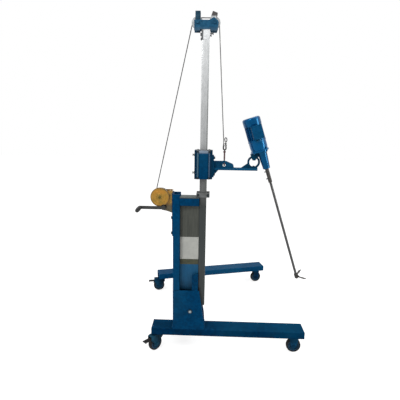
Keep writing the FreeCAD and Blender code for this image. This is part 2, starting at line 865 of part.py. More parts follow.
def winch_drum():
    """Drum, its flanges, the wound rope's outer layer and the gear wheel on one shaft."""
    half = drum_inner_length / 2
    core = rod(V(0, -half, 0), V(0, half, 0), drum_core_radius)
    drum = core
    for y0 in (-drum_half, half):
        drum = drum.fuse(rod(V(0, y0, 0), V(0, y0 + drum_flange, 0), drum_flange_radius))
    shaft_end = winch_half + winch_side + 5
    shaft = rod(V(0, gear_front, 0), V(0, shaft_end, 0), 8.0)
    sleeve = rod(V(0, gear_rear, 0), V(0, -winch_half - winch_side - 0.4, 0), 14.0)
    gear = spur_gear(gear_teeth, 7.9, pinion_direction)
    wound = tube(V(0, -half, 0), V(0, half, 0), drum_rope_radius - rope_radius - touch_gap,
                 drum_core_radius)
    return group([placed(drum.fuse(shaft).fuse(sleeve).fuse(gear).removeSplitter(), drum_centre),
                  placed(wound, drum_centre)])


def winch_side_plate(y0, y1):
    """Side plate from the base to the drum and pinion bearings."""
    base = post_left - winch_plate
    low = drum_centre.z - winch_base_below
    high = low + winch_base_height
    outline = [(base, low), (base, high), (drum_centre.x + 16, high), (drum_centre.x - 20, high - 14),
               (drum_centre.x - 26, drum_centre.z - 18), (pinion_centre.x - 20, pinion_centre.z - 4),
               (pinion_centre.x - 12, pinion_centre.z - 20), (pinion_centre.x + 14, pinion_centre.z - 24)]
    plate = side_plate(outline, y0, y1)
    for centre, radius in ((drum_centre, 8.0), (pinion_centre, pinion_shaft_radius)):
        bore = radius + running_gap
        plate = plate.cut(rod(V(centre.x, y0 - 1, centre.z), V(centre.x, y1 + 1, centre.z), bore))
    return plate


def winch_frame():
    """Two side plates, the base plate that joins them and two tie rods."""
    base = post_left - winch_plate
    outer = winch_half + winch_side
    low = drum_centre.z - winch_base_below
    high = low + winch_base_height
    frame = winch_side_plate(-outer, -winch_half).fuse(winch_side_plate(winch_half, outer))
    frame = frame.fuse(block(base - 5, base, -winch_half, winch_half, low, high))
    x = drum_centre.x + 60
    for z in (high - 8, low + 12):
        frame = frame.fuse(rod(V(x, -winch_half, z), V(x, winch_half, z), 5.0))
    return frame.removeSplitter()


def gear_cover():
    """Dished round cover over the gear wheel, open where the pinion meshes."""
    outer = cover_inner_radius + cover_sheet
    rear = -winch_half - winch_side
    dish = rod(V(0, cover_front, 0), V(0, rear, 0), outer)
    edge = [e for e in dish.Edges if abs(e.BoundBox.YMax - cover_front) < 0.1 and e.Length > outer]
    dish = dish.makeFillet(3.0, edge)
    inside = rod(V(0, cover_front + cover_sheet, 0), V(0, rear + 1, 0), cover_inner_radius)
    dish = dish.cut(inside)
    boss = rod(V(0, cover_front - 4, 0), V(0, cover_front + cover_sheet, 0), 12.0)
    boss_hole = rod(V(0, cover_front - 5, 0), V(0, cover_front + cover_sheet + 1, 0), 8.6)
    window = pinion_centre - drum_centre
    window = rod(V(window.x, cover_front - 1, window.z), V(window.x, rear + 1, window.z),
                 gear_module * (pinion_teeth / 2 + 1) + 2.0)
    return placed(dish.fuse(boss).cut(boss_hole).cut(window), drum_centre)


def crank():
    """Pinion and its shaft in one piece with the crank arm and the grip's pin."""
    arm_rear = cover_front - 8
    arm_front = arm_rear - crank_bar
    end = V(crank_arm_length * math.cos(math.radians(crank_rest)), 0,
            crank_arm_length * math.sin(math.radians(crank_rest)))
    mesh_turn = pinion_direction + 180 + 180.0 / pinion_teeth
    piece = spur_gear(pinion_teeth, 5.0, mesh_turn)
    piece = piece.fuse(rod(V(0, arm_front - 6, 0), V(0, winch_half + winch_side + 6, 0), pinion_shaft_radius))
    piece = piece.fuse(rod(V(0, arm_front - 3, 0), V(0, gear_front, 0), 13.0))
    bar = block(0, crank_arm_length, arm_front, arm_rear, -crank_bar_width / 2, crank_bar_width / 2)
    bar = bar.fuse(rod(V(crank_arm_length, arm_front, 0), V(crank_arm_length, arm_rear, 0),
                       crank_bar_width / 2))
    bar = placed(bar, V(0, 0, 0), -crank_rest, Y_AXIS)
    pin = rod(end + V(0, arm_front - grip_length - 6, 0), end + V(0, arm_front, 0), grip_pin_radius)
    outer_end = arm_front - grip_length
    pin_head = rod(end + V(0, outer_end - 6, 0), end + V(0, outer_end - 2, 0), 8.0)
    piece = piece.fuse(bar).fuse(pin).fuse(pin_head).removeSplitter()
    return placed(piece, pinion_centre)


def crank_grip():
    """Barrel-shaped hand grip that turns on the crank's pin."""
    length = grip_length - 2 * moving_gap
    bore = grip_pin_radius + running_gap
    outline = [(bore, 0), (grip_radius - 4, 0), (grip_radius - 1.5, 4), (grip_radius, length * 0.35),
               (grip_radius, length * 0.6), (grip_radius - 2.5, length - 5), (grip_radius - 5, length),
               (bore, length)]
    grip = placed(turned(outline), V(0, 0, 0), 90, X_AXIS)
    arm_front = cover_front - 8 - crank_bar
    end = V(crank_arm_length * math.cos(math.radians(crank_rest)), arm_front - moving_gap,
            crank_arm_length * math.sin(math.radians(crank_rest)))
    return placed(grip, pinion_centre + end), pinion_centre + end


nodes["winch_bracket"] = block(post_left - winch_plate, post_left, column_front + 2, column_back - 2,
                               winch_plate_bottom, post_top + 5)
nodes["winch_frame"] = winch_frame()
nodes["winch_gear_cover"] = gear_cover()
nodes["winch_drum"] = winch_drum()
nodes["crank_arm"] = crank()
nodes["crank_grip"], grip_spot = crank_grip()
joints["drum_spin"] = (drum_centre, Y_AXIS)
joints["crank_spin"] = (pinion_centre, Y_AXIS)
joints["grip_spin"] = (grip_spot, Y_AXIS)

# Carriage: two pressed plates joined by cheeks, with four guide rollers on the mast

carriage_top = carriage_bottom + carriage_height


def pressed_plate():
    """Front plate in plan: a raised middle between two set-back flanges."""
    outer = carriage_half_width
    inner = press_half_width
    low = -carriage_half_depth
    step = low + press_rise
    sheet = carriage_sheet
    outline = [(-outer, step), (-inner - 2, step), (-inner + 2, low), (inner - 2, low),
               (inner + 2, step), (outer, step), (outer, step + sheet), (inner, step + sheet),
               (inner - 4, low + sheet), (-inner + 4, low + sheet), (-inner, step + sheet),
               (-outer, step + sheet)]
    plate = bar_along_z(outline, carriage_bottom, carriage_top)
    for x in (-roller_x, roller_x):
        for z in (roller_low, roller_high):
            plate = plate.cut(rod(V(x, low - 1, z), V(x, step + sheet + 1, z), roller_axle_radius))
    return plate


def carriage_cheeks():
    depth = carriage_half_depth - press_rise - carriage_sheet
    outer = carriage_half_width
    left = block(-outer, -outer + carriage_sheet, -depth, depth, carriage_bottom, carriage_top)
    right = block(outer - carriage_sheet, outer, -depth, depth, carriage_bottom, carriage_top)
    return group([left, right])


def guide_roller(x, z):
    """Guide roller with a flange at each end that straddles the mast's face."""
    half = roller_width / 2
    bore = roller_axle_radius + running_gap
    outline = [(bore, -half), (8, -half), (8, -half + 2), (roller_radius - 1.5, -half + 2),
               (roller_radius, -half + 4), (roller_radius, half - 4), (roller_radius - 1.5, half - 2),
               (8, half - 2), (8, half), (bore, half)]
    return placed(turned(outline), V(x, 0, z), 90, X_AXIS)


def carriage_bolts():
    """Roller axles through both plates, and the adjusting screws of the rear cheek."""
    pieces = []
    reach = carriage_half_depth
    for x in (-roller_x, roller_x):
        for z in (roller_low, roller_high):
            axle = rod(V(x, -reach, z), V(x, reach, z), roller_axle_radius)
            for way in (-1, 1):
                axle = axle.fuse(hex_bolt(V(x, way * reach, z), Y_AXIS * way, roller_axle_radius))
                start = way * (roller_width / 2 + touch_gap)
                end = way * (carriage_half_depth - carriage_sheet)
                axle = axle.fuse(rod(V(x, start, z), V(x, end, z), roller_axle_radius + 1))
            pieces.append(axle.removeSplitter())
    low_screw = carriage_bottom + side_screw_low
    for z in (low_screw, low_screw + side_screw_spacing):
        outer = -carriage_half_width
        screw = hex_bolt(V(outer - 9, 0, z), -X_AXIS, 4.0, 9.0)
        nut = hex_bolt(V(outer, 0, z), -X_AXIS, 4.4)
        pieces.append(screw.fuse(nut).removeSplitter())
    return group(pieces)


front_plate = pressed_plate()
nodes["carriage_plates"] = group([front_plate, front_plate.mirror(V(0, 0, 0), Y_AXIS)])
nodes["carriage_cheeks"] = carriage_cheeks()
nodes["carriage_bolts"] = carriage_bolts()
roller_spots = {"upper_left_roller": (-roller_x, roller_high), "lower_left_roller": (-roller_x, roller_low),
                "upper_right_roller": (roller_x, roller_high), "lower_right_roller": (roller_x, roller_low)}
for name, (x, z) in roller_spots.items():
    nodes[name] = guide_roller(x, z)
    joints[name + "_spin"] = (V(x, 0, z), Y_AXIS)


def arm_beam():
    """Flange on the carriage, flat arm and the lifting lug that stands on the arm."""
    start = carriage_half_width
    arm_start = start + arm_flange
    half = arm_width / 2
    flange = block(start, arm_start, -half - 8, half + 8, arm_flange_bottom, arm_flange_top)
    flange = rounded(flange, 6.0, X_AXIS)
    bar = block(arm_start, arm_end, -half, half, arm_top - arm_thick, arm_top)
    bar = rounded(bar, 2.0, X_AXIS)
    lug = side_plate([(arm_start, arm_top), (arm_start, lug_top), (lug_flat_end, lug_top),
                      (lug_end - 4, arm_top + lug_end_height), (lug_end, arm_top + lug_end_height - 6),
                      (lug_end + 3, arm_top)], -lug_sheet / 2, lug_sheet / 2)
    eye = rod(V(lug_eye_x, -lug_sheet, lug_eye_z), V(lug_eye_x, lug_sheet, lug_eye_z), lug_eye_radius)
    brace = side_plate([(arm_start, arm_top - arm_thick), (arm_start, arm_flange_bottom + 12),
                        (arm_start + 30, arm_top - arm_thick)], -lug_sheet / 2, lug_sheet / 2)
    return flange.fuse(bar).fuse(lug).fuse(brace).cut(eye).removeSplitter()


def tilt_ring():
    """Ring bracket: a ring, a flat foot under it and a wedge-shaped stay behind it."""
    half = ring_thick / 2
    centre = V(ring_x, 0, ring_z)
    side = Y_AXIS * half
    outer = rod(centre - side, centre + side, ring_outer)
    foot = block(ring_x - ring_foot, arm_end, -half, half, arm_top, arm_top + ring_foot_sheet)
    wedge = side_plate([(ring_x - wedge_reach, arm_top), (ring_x - wedge_reach, arm_top + 2),
                        (ring_x - ring_outer + 1, ring_z - 9), (ring_x - 20, ring_z - 30),
                        (ring_x - 20, arm_top)], -half, half)
    below = block(ring_x - wedge_reach - 1, ring_x + ring_outer, -half - 1, half + 1,
                  arm_top - ring_outer, arm_top)
    solid = outer.fuse(foot).fuse(wedge).cut(below)
    solid = solid.cut(rod(centre - side * 1.2, centre + side * 1.2, ring_bore))
    bolt = rod(V(ring_x, 0, arm_top), V(ring_x, 0, arm_top + ring_wall + 4), 6.0)
    return solid.fuse(bolt).removeSplitter()


nodes["arm_beam"] = arm_beam()
nodes["tilt_ring"] = tilt_ring()


# Hook in the lug's eye, and the rope's thimble, clips and tail above it

def rope_hook():
    """Hook that passes through the eye, with its shank and swivel above."""
    radius = hook_bowl_radius
    arc_centre = V(lug_eye_x, 0, lug_eye_z + radius - 2.0)
    left = arc_centre + V(0, -radius, 0)
    right = arc_centre + V(0, radius, 0)
    low = arc_centre - Z_AXIS * radius
    arc = Part.Arc(left, low, right).toShape()
    rise_end = right + Z_AXIS * hook_rise
    rise = Part.LineSegment(right, rise_end).toShape()
    shoulder_end = V(lug_eye_x, 0, rise_end.z + radius + 1)
    section = Part.Wire(Part.makeCircle(hook_rod_radius, left, Z_AXIS))
    bowl_solid = Part.Wire([arc, rise]).makePipeShell([section], True, True)
    shoulder = rod(rise_end, shoulder_end, hook_rod_radius)
    shank = rod(shoulder_end, V(lug_eye_x, 0, swivel_height), hook_rod_radius + 0.5)
    joint_ball = Part.makeSphere(hook_rod_radius, rise_end)
    joint_ball_2 = Part.makeSphere(hook_rod_radius + 0.5, shoulder_end)
    tip = Part.makeSphere(hook_rod_radius, left)
    swivel = rod(V(lug_eye_x, 0, swivel_height), V(lug_eye_x, 0, swivel_height + swivel_length), 8.0)
    hook = bowl_solid.fuse([shoulder, shank, joint_ball, joint_ball_2, tip, swivel])
    return hook.removeSplitter()


def rope_thimble():
    """Thimble eye in the swivel, the live and dead rope above it, their clip and the looped tail."""
    x = lug_eye_x
    radius = thimble_half_width - rope_radius
    centre = V(x, 0, thimble_bottom + thimble_half_width)
    neck = thimble_bottom + thimble_height - 9
    live = V(fall_end.x, 0, neck)
    dead = V(x + radius / 2, 0, neck)
    left = centre - X_AXIS * radius
    right = centre + X_AXIS * radius
    arc = Part.Arc(left, centre - Z_AXIS * radius, right).toShape()
    edges = [Part.LineSegment(live, left).toShape(), arc, Part.LineSegment(right, dead).toShape()]
    section = Part.Wire(Part.makeCircle(rope_radius, live, left - live))
    eye = Part.Wire(edges).makePipeShell([section], True, True)
    post = rod(V(x, 0, thimble_bottom - thimble_gap), V(x, 0, thimble_bottom + 7), 4.0)
    clip = block(x - 11, x + 10, -6, 6, neck - 3, fall_end.z)
    clip = rounded(clip, 2.0, Z_AXIS)
    nuts = [hex_bolt(V(x + 10, 0, neck + h), X_AXIS, 2.6) for h in (0.5, 6.0)]
    low = fall_end.z - 1
    high = rope_tail_top - rope_radius
    points = [V(x + 4, 0, low), V(x + 4 + tail_reach, 0, low + (high - low) * 0.55),
              V(x + 2 + tail_reach / 2, 0, high), V(x - 1, 0, high - 8), V(x + 3, 0, low + 10)]
    tail = Part.makeSphere(rope_radius, points[-1])
    for a, b in zip(points, points[1:]):
        tail = tail.fuse(rod(a, b, rope_radius))
    for point in points[1:-1]:
        tail = tail.fuse(Part.makeSphere(rope_radius, point))
    return eye.fuse([post, clip] + nuts + [tail]).removeSplitter()


nodes["rope_hook"] = rope_hook()
nodes["rope_thimble"] = rope_thimble()
joints["carriage_slide"] = (V(0, 0, 0), Z_AXIS)

# Mixer head: drawn upright with its axis on Z and its lower face at Z = 0, then tilted

tilt_turn = FreeCAD.Rotation(Y_AXIS, -tilt_rest)
ring_centre = V(ring_x, 0, ring_z)
ring_local = V(-axis_offset, 0, ring_height)
mixer_origin = ring_centre - tilt_turn.multVec(ring_local)
mixer_placement = FreeCAD.Placement(mixer_origin, tilt_turn)


def on_mixer(shape):
    copy = shape.copy()
    copy.Placement = mixer_placement.multiply(shape.Placement)
    return copy


def on_motor(shape):
    """The motor's axis lies beside the shaft's, because a pair of gears in the adapter joins them."""
    return on_mixer(placed(shape, V(-motor_offset, 0, 0)))


def bearing_housing():
    """Tapered housing with a collar on top, bored for the output shaft."""
    outline = [(0, 0), (cone_bottom_radius - 3, 0), (cone_bottom_radius, 3),
               (cone_bottom_radius, 10), (cone_top_radius, cone_height),
               (collar_radius, cone_height), (collar_radius, adapter_bottom), (0, adapter_bottom)]
    housing = turned(outline)
    return housing.cut(rod(V(0, 0, -1), V(0, 0, shaft_stub + 0.5), shaft_radius + running_gap))


def motor_adapter():
    """Smooth round adapter with a bolted flange below and a spigot ring above."""
    low = adapter_bottom
    high = motor_bottom
    outline = [(0, low), (adapter_flange_radius, low), (adapter_flange_radius, low + adapter_flange),
               (adapter_radius - 2, low + adapter_flange + 3), (adapter_radius, low + 30),
               (adapter_radius, high - 10), (adapter_flange_radius - 1, high - 8),
               (adapter_flange_radius - 1, high), (0, high)]
    adapter = turned(outline)
    for angle in (42, 132, 222, 312):
        turn = math.radians(angle)
        r = adapter_flange_radius - 2
        lug = rod(V(r * math.cos(turn), r * math.sin(turn), low),
                  V(r * math.cos(turn), r * math.sin(turn), low + 16), 8.0)
        adapter = adapter.fuse(lug)
    return adapter.removeSplitter()


def motor_body():
    """Motor barrel with lengthwise cooling fins and a rim at each end."""
    low = motor_bottom
    high = motor_end
    body = rod(V(0, 0, low), V(0, 0, high - 6), motor_core_radius)
    fins = []
    for index in range(fin_count):
        fin = block(motor_core_radius - 2, motor_radius, -fin_thick / 2, fin_thick / 2,
                    low + 4, high - 10)
        fins.append(placed(fin, V(0, 0, 0), 360.0 * index / fin_count))
    body = body.fuse(fins)
    for z in (low, high - 10):
        body = body.fuse(rod(V(0, 0, z), V(0, 0, z + 4), motor_radius))
    end = high - 6
    body = body.cut(rod(V(0, 0, end - fan_shaft_depth - 1), V(0, 0, end + 1), shaft_radius + running_gap))
    return body.removeSplitter()


def fan_cover():
    """Thin domed cover with radial air slots in its end."""
    low = fan_cover_bottom
    high = low + fan_cover_height
    shell = rod(V(0, 0, low), V(0, 0, high), fan_cover_radius)
    edge = [e for e in shell.Edges if abs(e.BoundBox.ZMin - high) < 0.1 and e.Length > 50]
    shell = shell.makeFillet(fan_cover_round, edge)
    hollow = rod(V(0, 0, low - 1), V(0, 0, high - fan_cover_wall), fan_cover_radius - fan_cover_wall)
    edge = [e for e in hollow.Edges if abs(e.BoundBox.ZMin - high + fan_cover_wall) < 0.1 and e.Length > 50]
    hollow = hollow.makeFillet(fan_cover_round - fan_cover_wall, edge)
    cover = shell.cut(hollow)
    slot = block(14, 40, -2.5, 2.5, high - fan_cover_wall - 1, high + 1)
    slots = [placed(slot, V(0, 0, 0), 360.0 * index / vent_count) for index in range(vent_count)]
    return cover.cut(group(slots))


def terminal_box():
    """Box on the motor's side with a stepped lid, four lid screws and a cable gland."""
    high = fan_cover_bottom - box_below_cover
    low = high - box_length
    half = box_width / 2
    outer = motor_radius + box_reach
    base = block(motor_core_radius - 6, outer - 8, -half, half, low, high)
    base = rounded(base, 6.0, X_AXIS)
    lid = rounded(block(outer - 8, outer, -half - 2, half + 2, low - 2, high + 2), 7.0, X_AXIS)
    saddle = rod(V(0, 0, low - 5), V(0, 0, high + 5), motor_radius + 0.2)
    box = base.cut(saddle).fuse(lid)
    for y in (-half + 6, half - 6):
        for z in (low + 6, high - 6):
            box = box.fuse(rod(V(outer, y, z), V(outer + 2.5, y, z), 3.5))
    gland_at = V(outer - gland_inset, 0, low)
    gland = rod(gland_at, gland_at - Z_AXIS * 10, 8.0)
    nut = rod(gland_at - Z_AXIS * 10, gland_at - Z_AXIS * gland_length, 10.0)
    entry = rod(gland_at + Z_AXIS * gland_entry, gland_at - Z_AXIS * (gland_length + 1), gland_bore)
    box = box.fuse(gland).fuse(nut).cut(entry)
    turn = FreeCAD.Rotation(Z_AXIS, box_turn)
    mouth = turn.multVec(gland_at - Z_AXIS * gland_length)
    return placed(box.removeSplitter(), V(0, 0, 0), box_turn), mouth


def tilt_clamp():
    """Jaws that hold the ring from both sides, from outside and from inside."""
    centre = ring_local
    half = ring_thick / 2 + touch_gap
    cheek = 6.0
    outer = half + cheek
    def disc(radius, reach):
        side = Y_AXIS * reach
        return rod(centre - side, centre + side, radius)

    top = adapter_bottom
    web = side_plate([(centre.x - 6, top), (-collar_radius + 6, top),
                      (-cone_top_radius + 2, cone_height - 14), (centre.x + 34, centre.z + 22),
                      (centre.x + 12, centre.z + 14), (centre.x - 6, centre.z + 24)], -outer, outer)
    fan = side_plate([(centre.x - 2, centre.z), (centre.x - 6, top), (centre.x + 40, top),
                      (centre.x + 40, centre.z + 28)], -outer, outer)
    jaws = web.fuse(fan).cut(disc(12.0, outer + 1))
    slot = disc(ring_outer + touch_gap, half).cut(disc(ring_bore - touch_gap, half + 1))
    jaws = jaws.cut(slot)
    housing = turned([(0, -5), (cone_bottom_radius + 1, -5), (cone_top_radius, cone_height),
                      (collar_radius, cone_height), (collar_radius, adapter_bottom), (0, adapter_bottom)])
    jaws = jaws.cut(housing)
    above = block(-200, 200, -60, 60, adapter_bottom, adapter_bottom + 60)
    return jaws.cut(above).removeSplitter()


box_solid, gland_mouth = terminal_box()
nodes["bearing_housing"] = on_mixer(bearing_housing())
nodes["motor_adapter"] = on_motor(motor_adapter())
nodes["motor_body"] = on_motor(motor_body())
nodes["fan_cover"] = on_motor(fan_cover())
nodes["terminal_box"] = on_motor(box_solid)
nodes["tilt_clamp"] = on_mixer(tilt_clamp())
joints["tilt"] = (ring_centre, Y_AXIS)
mouth_at = gland_mouth - X_AXIS * motor_offset
joints["cable_entry_mount"] = (mixer_placement.multVec(mouth_at), tilt_turn.multVec(-Z_AXIS))


# Fan on the motor's axis; coupling, shaft, hub and folding blades on the shaft's axis

def motor_fan():
    """Cooling fan on the motor shaft's rear end, inside the cover."""
    low = motor_end
    fan = turned([(0, low), (16, low), (16, low + 3), (fan_radius, low + 3), (fan_radius, low + 5),
                  (16, low + 5), (14, low + 22), (0, low + 22)])
    fan = fan.fuse(rod(V(0, 0, low - 6 - fan_shaft_depth), V(0, 0, low), shaft_radius))
    for index in range(fan_blades):
        blade = block(12, fan_radius - 3, -1, 1, low + 4, low + 22)
        fan = fan.fuse(placed(blade, V(0, 0, 0), 360.0 * index / fan_blades))
    return fan.removeSplitter()


def shaft_coupling():
    """Coupling sleeve under the housing, with two set screws on one side."""
    sleeve = tube(V(0, 0, -coupling_length), V(0, 0, -moving_gap), coupling_radius, shaft_radius)
    for drop in (18.0, 64.0):
        head = rod(V(-coupling_radius - 8, 0, -drop), V(-shaft_radius - 0.5, 0, -drop), 3.5)
        sleeve = sleeve.fuse(head.cut(rod(V(0, 0, -100), V(0, 0, 0), shaft_radius)))
    return sleeve.removeSplitter()


def impeller_hub():
    """Hub with a pair of ears for each blade and a hinge pin in each pair."""
    top = -hub_top_drop
    low = top - hub_length
    outline = [(shaft_radius, top), (hub_radius - 3, top), (hub_radius, top - 4),
               (hub_radius, low + 6), (hub_radius - 5, low), (shaft_radius, low)]
    hub = turned(outline)
    pin_z = top - hinge_drop
    inner = tongue_thick / 2 + touch_gap
    outer = inner + ear_thick
    pieces = []
    for azimuth in blade_azimuths.values():
        for y0 in (-outer, inner):
            ear = block(hub_radius - 3, hinge_radius, y0, y0 + ear_thick, pin_z - 5, pin_z + 5)
            ear = ear.fuse(rod(V(hinge_radius, y0, pin_z), V(hinge_radius, y0 + ear_thick, pin_z), 5.0))
            pieces.append(placed(ear, V(0, 0, 0), azimuth))
        pin = rod(V(hinge_radius, -outer - 1, pin_z), V(hinge_radius, outer + 1, pin_z), hinge_pin_radius)
        pieces.append(placed(pin, V(0, 0, 0), azimuth))
    bore = rod(V(0, 0, low - 1), V(0, 0, top + 1), shaft_radius)
    return hub.fuse(pieces).cut(bore).removeSplitter()


def impeller_blade():
    """Blade that points along +X from its hinge pin at the origin, with a pitched plate."""
    half = tongue_thick / 2
    eye = rod(V(0, -half, 0), V(0, half, 0), 4.5)
    tongue = block(0, 15, -half, half, -3.5, 3.5)
    start = 13.0
    wide = blade_width / 2
    root = 7.0
    outline = [(start, -root), (start + 12, -wide), (blade_length - 6, -wide + 1),
               (blade_length, -wide + 6), (blade_length, wide - 6), (blade_length - 6, wide - 1),
               (start + 12, wide), (start, root)]
    plate = bar_along_z(outline, -blade_thick / 2, blade_thick / 2)
    plate = placed(plate, V(0, 0, 0), blade_pitch, X_AXIS)
    blade = eye.fuse(tongue).fuse(plate)
    bore = rod(V(0, -half - 1, 0), V(0, half + 1, 0), hinge_pin_radius + running_gap)
    return blade.cut(bore).removeSplitter()


nodes["motor_fan"] = on_motor(motor_fan())
joints["fan_spin"] = (mixer_placement.multVec(V(-motor_offset, 0, motor_end)), tilt_turn.multVec(Z_AXIS))
nodes["shaft_coupling"] = on_mixer(shaft_coupling())
nodes["mixer_shaft"] = on_mixer(rod(V(0, 0, -hub_top_drop - hub_length + 2), V(0, 0, shaft_stub),
                                    shaft_radius))
nodes["impeller_hub"] = on_mixer(impeller_hub())
joints["shaft_spin"] = (mixer_origin, tilt_turn.multVec(Z_AXIS))
for name, azimuth in blade_azimuths.items():
    opened = placed(impeller_blade(), V(hinge_radius, 0, -hub_top_drop - hinge_drop))
    nodes[name] = on_mixer(placed(opened, V(0, 0, 0), azimuth))
    turn = math.radians(azimuth)
    pin_local = V(hinge_radius * math.cos(turn), hinge_radius * math.sin(turn), -hub_top_drop - hinge_drop)
    pin_axis = tilt_turn.multVec(V(-math.sin(turn), math.cos(turn), 0))
    joints[name + "_fold"] = (mixer_placement.multVec(pin_local), pin_axis)


# Fasteners of the frame

def frame_bolts():
    pieces = []
    for x in (post_left + 60, -60.0, foot_plate_front - 12):
        for y in (-34.0, 34.0):
            pieces.append(hex_bolt(V(x, y, column_foot), Z_AXIS, 6.0))
    tie_x = (stub_left + stub_right) / 2 - 30
    reach = column_back + gusset_plate
    tie = rod(V(tie_x, -reach, tie_bolt_height), V(tie_x, reach, tie_bolt_height), 8.0)
    for way in (-1, 1):
        tie = tie.fuse(hex_bolt(V(tie_x, way * reach, tie_bolt_height), Y_AXIS * way, 8.0))
    pieces.append(tie)
    middle = crossbar_top + top_plate + clamp_height / 2
    for x in (-clamp_reach + 10, clamp_reach - 10):
        reach = mast_half + clamp_bar
        bolt = rod(V(x, -reach, middle), V(x, reach, middle), clamp_bolt_radius)
        for way in (-1, 1):
            bolt = bolt.fuse(hex_bolt(V(x, way * reach, middle), Y_AXIS * way, clamp_bolt_radius))
        pieces.append(bolt)
    side = mast_half + sleeve_wall
    pieces.append(hex_bolt(V(-side, -8, head_bottom - 26), -X_AXIS, 5.0))
    pieces.append(hex_bolt(V(-side, 8, head_bottom - 46), -X_AXIS, 4.0))
    pieces.append(hex_bolt(V(side + 16, -8, head_bottom - 21), X_AXIS, 3.5, 16.0))
    pieces.append(hex_bolt(V(side + 4, 8, head_bottom - 28), X_AXIS, 3.5, 4.0))
    for y in (-38.0, 38.0):
        for z in (winch_plate_bottom + 18, winch_plate_bottom + 120):
            pieces.append(hex_bolt(V(post_left - winch_plate, y, z), -X_AXIS, 5.0))
    for place in ((near_left_at, 0.0), (near_right_at, 0.0), (far_left_at, splay_angle),
                  (far_right_at, splay_angle)):
        spot, turn = place
        for x in (-caster_plate_length / 2 + 9, caster_plate_length / 2 - 9):
            for y in (-caster_plate_width / 2 + 9, caster_plate_width / 2 - 9):
                bolt = hex_bolt(V(x, y, leg_underside - caster_plate), -Z_AXIS, 4.0)
                pieces.append(placed(bolt, spot, turn))
    return group(pieces)


nodes["frame_bolts"] = frame_bolts()

# The footprint's centre becomes the origin, and every node is written

whole = group(list(nodes.values())).BoundBox
shift = V(-(whole.XMin + whole.XMax) / 2, -(whole.YMin + whole.YMax) / 2, 0)
os.makedirs("parts", exist_ok=True)
for name, shape in nodes.items():
    shape.translated(shift).exportStep("parts/" + name + ".step")
size = [round(v, 1) for v in (whole.XLength, whole.YLength, whole.ZLength)]
print("nodes", len(nodes), "size", size)
print("shift", round(shift.x, 3), round(shift.y, 3))
for name, (spot, axis) in joints.items():
    spot = spot + shift
    print("joint", name, [round(v, 3) for v in spot], [round(v, 5) for v in axis])
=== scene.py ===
import json
import math
import bmesh
import bpy
from mathutils import Matrix, Vector


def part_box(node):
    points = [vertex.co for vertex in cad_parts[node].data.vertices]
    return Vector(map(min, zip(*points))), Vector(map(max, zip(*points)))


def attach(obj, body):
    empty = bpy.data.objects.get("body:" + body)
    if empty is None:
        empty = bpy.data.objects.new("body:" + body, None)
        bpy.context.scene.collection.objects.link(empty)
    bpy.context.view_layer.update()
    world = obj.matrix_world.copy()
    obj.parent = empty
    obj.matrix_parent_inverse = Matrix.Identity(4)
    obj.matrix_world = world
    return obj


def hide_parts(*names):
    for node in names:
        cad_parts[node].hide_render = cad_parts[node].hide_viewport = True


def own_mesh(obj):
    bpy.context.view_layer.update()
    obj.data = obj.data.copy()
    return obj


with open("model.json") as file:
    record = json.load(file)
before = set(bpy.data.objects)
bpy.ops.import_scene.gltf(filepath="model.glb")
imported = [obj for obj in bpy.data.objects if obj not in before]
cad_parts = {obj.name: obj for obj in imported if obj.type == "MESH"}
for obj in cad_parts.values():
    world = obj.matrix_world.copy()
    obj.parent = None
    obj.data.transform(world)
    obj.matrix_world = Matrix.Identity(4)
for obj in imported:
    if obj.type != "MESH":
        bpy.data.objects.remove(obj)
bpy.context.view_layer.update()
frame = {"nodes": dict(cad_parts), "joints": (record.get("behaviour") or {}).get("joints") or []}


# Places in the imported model, in metres

nodes = frame["nodes"]
pivots = {j["name"]: Vector(j["pos_m"]) for j in frame["joints"] if "pos_m" in j}
axes = {j["name"]: Vector(j["axis"]).normalized() for j in frame["joints"]}
drum_centre = pivots["drum_spin"]
cover_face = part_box("winch_gear_cover")[0].y
mast_low, mast_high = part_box("mast_tube")
carriage_low, carriage_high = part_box("carriage_plates")
carriage_rib_place = 0.0355
ORIGIN = Vector(((mast_low.x + mast_high.x) / 2, (mast_low.y + mast_high.y) / 2, 0))
X, Y, Z = Vector((1, 0, 0)), Vector((0, 1, 0)), Vector((0, 0, 1))


def at(x, y, z):
    """A point given in millimetres from the mast's foot."""
    return ORIGIN + Vector((x, y, z)) * 0.001


# Materials

def srgb(r, g, b):
    """A screen colour of 0 to 255, as the linear colour that a shader takes."""
    def linear(c):
        c /= 255
        return c / 12.92 if c <= 0.04045 else ((c + 0.055) / 1.055) ** 2.4
    return (linear(r), linear(g), linear(b), 1.0)


def new_node(tree, kind, values=None, **settings):
    """Adds a shader node with its settings. values holds values or outputs for its inputs."""
    node = tree.nodes.new("ShaderNode" + kind)
    for name, value in settings.items():
        setattr(node, name, value)
    for socket, value in (values or {}).items():
        if isinstance(value, bpy.types.NodeSocket):
            tree.links.new(value, node.inputs[socket])
        else:
            node.inputs[socket].default_value = value
    return node


